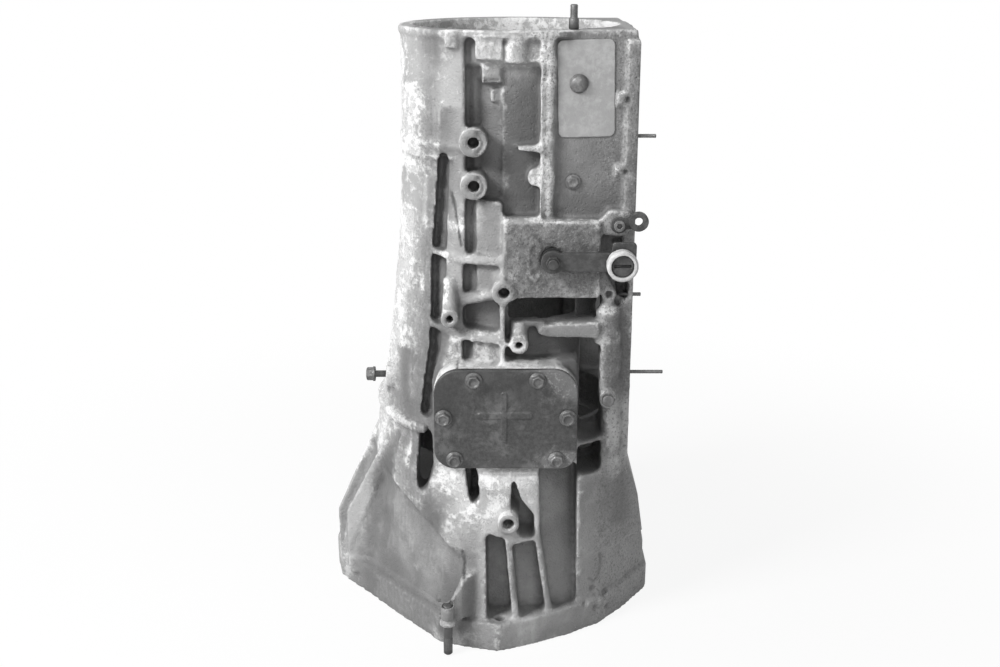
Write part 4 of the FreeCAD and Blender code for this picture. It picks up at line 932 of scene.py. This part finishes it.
def oxide_and_light_patches(tree, where, region):
    """Where oxide and painted light are strongest: ragged patches that grow with the region's value."""
    along_flank = add(tree, "ShaderNodeVectorMath", {"operation": "MULTIPLY", 1: (1.0, 0.5, 1.0)},
                      n0=where).outputs[0]
    patches = noise(tree, along_flank, 130.0, 12.0, 0.74, 0.3)
    limit = plus(tree, patches, times(tree, noise(tree, where, 24.0, 4.0, 0.6), 0.55))
    limit = plus(tree, limit, times(tree, region, 0.22))
    return times(tree, region, ramp(tree, limit, 0.9, 1.04))


def cast_alloy():
    """Cast metal: white oxide where it corroded and painted light where the lamp falls, oil with painted
    shade in the recesses, bright rubbed edges.
    """
    made, tree, where, shader = material_start("cast_alloy_finish")
    grain = placed(tree, grain_group, where, Size=430.0)
    painted_shade = placed(tree, occlusion_shade_group, where, Reach=0.045)
    region = value_of(tree, "oxide_and_light")
    oxide_and_light = oxide_and_light_patches(tree, where, region)
    specks = noise(tree, where, 520.0, 3.0, 0.7)
    pits = noise(tree, where, 340.0, 5.0, 0.75)
    pitted = value_of(tree, "pitted")
    rubbed = ramp(tree, noise(tree, where, 150.0, 6.0, 0.7), 0.42, 0.58)
    film = ramp(tree, noise(tree, where, 30.0, 5.0, 0.65), 0.25, 0.65, 0.55, 1.0)
    streaks = ramp(tree, noise(tree, where, 60.0, 6.0, 0.65), 0.45, 0.7, 0.0, 0.35)
    base = blend(tree, ramp(tree, grain["Cloud"], 0.3, 0.7), SKIN_DARK, SKIN_LIGHT)
    base = blend(tree, streaks, base, SKIN_STREAK)
    base = blend(tree, 1.0, base, value_of(tree, "tone"), "MULTIPLY")
    layers = [
        # Oxide and painted light, by the value of the points
        (times(tree, region, 0.6), OXIDE_AND_LIGHT_FILM),
        (oxide_and_light, OXIDE_AND_LIGHT_PATCH),
        (ramp(tree, region, 0.88, 1.0, 0.0, 0.46), OXIDE_AND_LIGHT_FULL),
        # Rubbed edges, and the painted highlight dashes
        (times(tree, times(tree, value_of(tree, "wear_and_highlight"), rubbed), 0.8), RUBBED_AND_HIGHLIGHT),
        (ramp(tree, specks, 0.6, 0.72, 0.0, 0.35), 0.5),
        (ramp(tree, specks, 0.4, 0.3, 0.0, 0.45), 0.1),
        (times(tree, pitted, ramp(tree, pits, 0.49, 0.38, 0.0, 0.75)), 0.06),
        (times(tree, pitted, ramp(tree, pits, 0.56, 0.66, 0.0, 0.4)), 0.5),
        # Grease and painted shade, broken up by a film
        (times(tree, times(tree, value_of(tree, "grease_and_shade"), film), 0.8), GREASE_AND_SHADE),
        # Painted shade in concave places
        (times(tree, value_of(tree, "hollow_shade"), 0.45), HOLLOW_SHADE),
        # Painted shade where the ambient occlusion finds the place closed in
        (times(tree, painted_shade["Mask"], 0.5), OCCLUSION_SHADE),
        # Cracks, and painted shade under the seam and in the rail eyes
        (times(tree, value_of(tree, "crack_and_shade"), 0.85), CRACK_AND_SHADE),
    ]
    for share, grey in layers:
        base = blend(tree, share, base, grey)
    tree.links.new(base, shader.inputs["Base Color"])
    rough = plus(tree, ramp(tree, grain["Cloud"], 0.3, 0.7, 0.5, 0.66), times(tree, oxide_and_light, 0.25))
    tree.links.new(rough, shader.inputs["Roughness"])
    shader.inputs["Metallic"].default_value = 0.12
    lift = plus(tree, grain["Height"], times(tree, oxide_and_light, 0.8))
    bumped(tree, shader, plus(tree, lift, times(tree, specks, 0.7)), 0.75, 0.001)
    return made


# %% [markdown]
# ## Steel, plastic and rubber
# The bolts, studs, lever, plate, seal and bushing differ in how dark, rough and metallic they are,
# and are alike in how they age and in the painted shade of their corners. So one function makes
# them all: a dark and a light grey in clouds, edges rubbed lighter, painted shade in the corners
# and a fine grain. Only its numbers change.

# %% Metals, plastic and rubber
def worn_metal(name, dark, light, rough, metallic=0.5, edge=0.0008):
    """Metal, plastic or rubber with clouded grey, rubbed edges, painted shade in its corners and a fine
    grain.
    """
    made, tree, where, shader = material_start(name)
    grain = placed(tree, grain_group, where, Size=700.0)
    edges = placed(tree, edge_group, where, Width=edge)
    painted_shade = placed(tree, occlusion_shade_group, where, Reach=0.02)
    spots = ramp(tree, noise(tree, where, 110.0, 6.0, 0.7), 0.38, 0.68)
    base = blend(tree, times(tree, spots, ramp(tree, grain["Cloud"], 0.3, 0.65)), dark, light)
    base = blend(tree, times(tree, edges["Mask"], 0.5), base, min(light * 2.2, 0.75))
    # Painted shade in the corners, from the ambient occlusion
    base = blend(tree, times(tree, painted_shade["Mask"], 0.7), base, dark * 0.35)
    tree.links.new(base, shader.inputs["Base Color"])
    tree.links.new(ramp(tree, spots, 0.0, 1.0, rough + 0.12, rough - 0.1), shader.inputs["Roughness"])
    shader.inputs["Metallic"].default_value = metallic
    bumped(tree, shader, grain["Height"], 0.5, 0.0003, Normal=edges["Normal"])
    return made


# %% [markdown]
# ## The side cover
# The cover is painted steel. Black grease lies over its middle and its left side, and the paint is
# dry and pale toward the right end and the rim. The grease is noise, and how much of it dries out
# grows with x, most of all along the top and the bottom.

# %% Painted cover
def cover_finish():
    """Painted steel: black oil blots over the middle and left, dry pale metal at the right and the rim."""
    made, tree, where, shader = material_start("cover_plate_finish")
    grain = placed(tree, grain_group, where, Size=600.0)
    painted_shade = placed(tree, occlusion_shade_group, where, Reach=0.02)
    parts = add(tree, "ShaderNodeSeparateXYZ", {}, Vector=where).outputs
    blots = noise(tree, where, 30.0, 10.0, 0.72, 0.25)
    fine = noise(tree, where, 240.0, 6.0, 0.7)
    right = ramp(tree, parts["X"], 0.0, 0.052)
    low = ramp(tree, parts["Z"], 0.232, 0.206, 0.0, 0.5)
    top = ramp(tree, parts["Z"], 0.262, 0.3, 0.0, 0.3)
    dry = plus(tree, times(tree, right, 0.24), times(tree, plus(tree, low, top), right))
    dry = ramp(tree, plus(tree, dry, blots), 0.74, 1.0)
    base = blend(tree, ramp(tree, fine, 0.35, 0.65), 0.042, 0.075)
    layers = [
        (ramp(tree, blots, 0.48, 0.62, 0.0, 0.75), 0.15),
        (ramp(tree, noise(tree, where, 9.0, 3.0, 0.5), 0.5, 0.36, 0.0, 0.6), 0.035),
        (dry, 0.155),
        (times(tree, dry, ramp(tree, fine, 0.52, 0.66)), 0.3),
        # Painted shade in the corners, from the ambient occlusion
        (times(tree, painted_shade["Mask"], 0.7), 0.03),
    ]
    for share, grey in layers:
        base = blend(tree, share, base, grey)
    tree.links.new(base, shader.inputs["Base Color"])
    tree.links.new(ramp(tree, dry, 0.0, 1.0, 0.42, 0.68), shader.inputs["Roughness"])
    shader.inputs["Metallic"].default_value = 0.1
    bumped(tree, shader, grain["Height"], 0.6, 0.0006)
    return made


# %% [markdown]
# ## Every piece gets its finish
# The record names a material slot for each solid, and each slot has one finish here. Two pieces
# differ from their slot: the nut on the lever is as dark as the lever, and the dressed cover wears
# the painted finish.

# %% Finishes on the pieces
FINISHES = {
    "cover_plate": cover_finish(),
    "cast_alloy": cast_alloy(),
    "dark_steel": worn_metal("dark_cover_finish", 0.055, 0.16, 0.5, 0.3),
    "gasket": worn_metal("gasket_finish", 0.03, 0.06, 0.85, 0.0),
    "steel_bolts": worn_metal("bolt_finish", 0.1, 0.3, 0.5, 0.35),
    "plate": worn_metal("plate_finish", 0.32, 0.42, 0.55, 0.1, edge=0.0005),
    "stud_steel": worn_metal("stud_finish", 0.1, 0.25, 0.5, 0.5),
    "plug_steel": worn_metal("plug_finish", 0.12, 0.27, 0.5, 0.3),
    "bronze": worn_metal("bushing_metal_finish", 0.25, 0.42, 0.4, 0.6),
    "lever_steel": worn_metal("lever_finish", 0.05, 0.11, 0.55, 0.2),
    "seal_rubber": worn_metal("seal_finish", 0.02, 0.04, 0.7, 0.0),
    "bushing_plastic": worn_metal("bushing_finish", 0.5, 0.78, 0.5, 0.0),
    "spring_steel": worn_metal("spring_finish", 0.25, 0.45, 0.35, 0.7),
}
for entry in frame["record"]["subparts"]:
    shown = frame["nodes"][entry["node"]]
    slot = "lever_steel" if entry["node"] == "lever_nut" else entry["material_slot"]
    shown.data.materials.clear()
    shown.data.materials.append(FINISHES[slot])
for obj, slot in DRESSED:
    obj.data.materials.append(FINISHES["cover_plate" if obj.name == "cover_pressed" else slot])
print("finishes:", len(FINISHES))
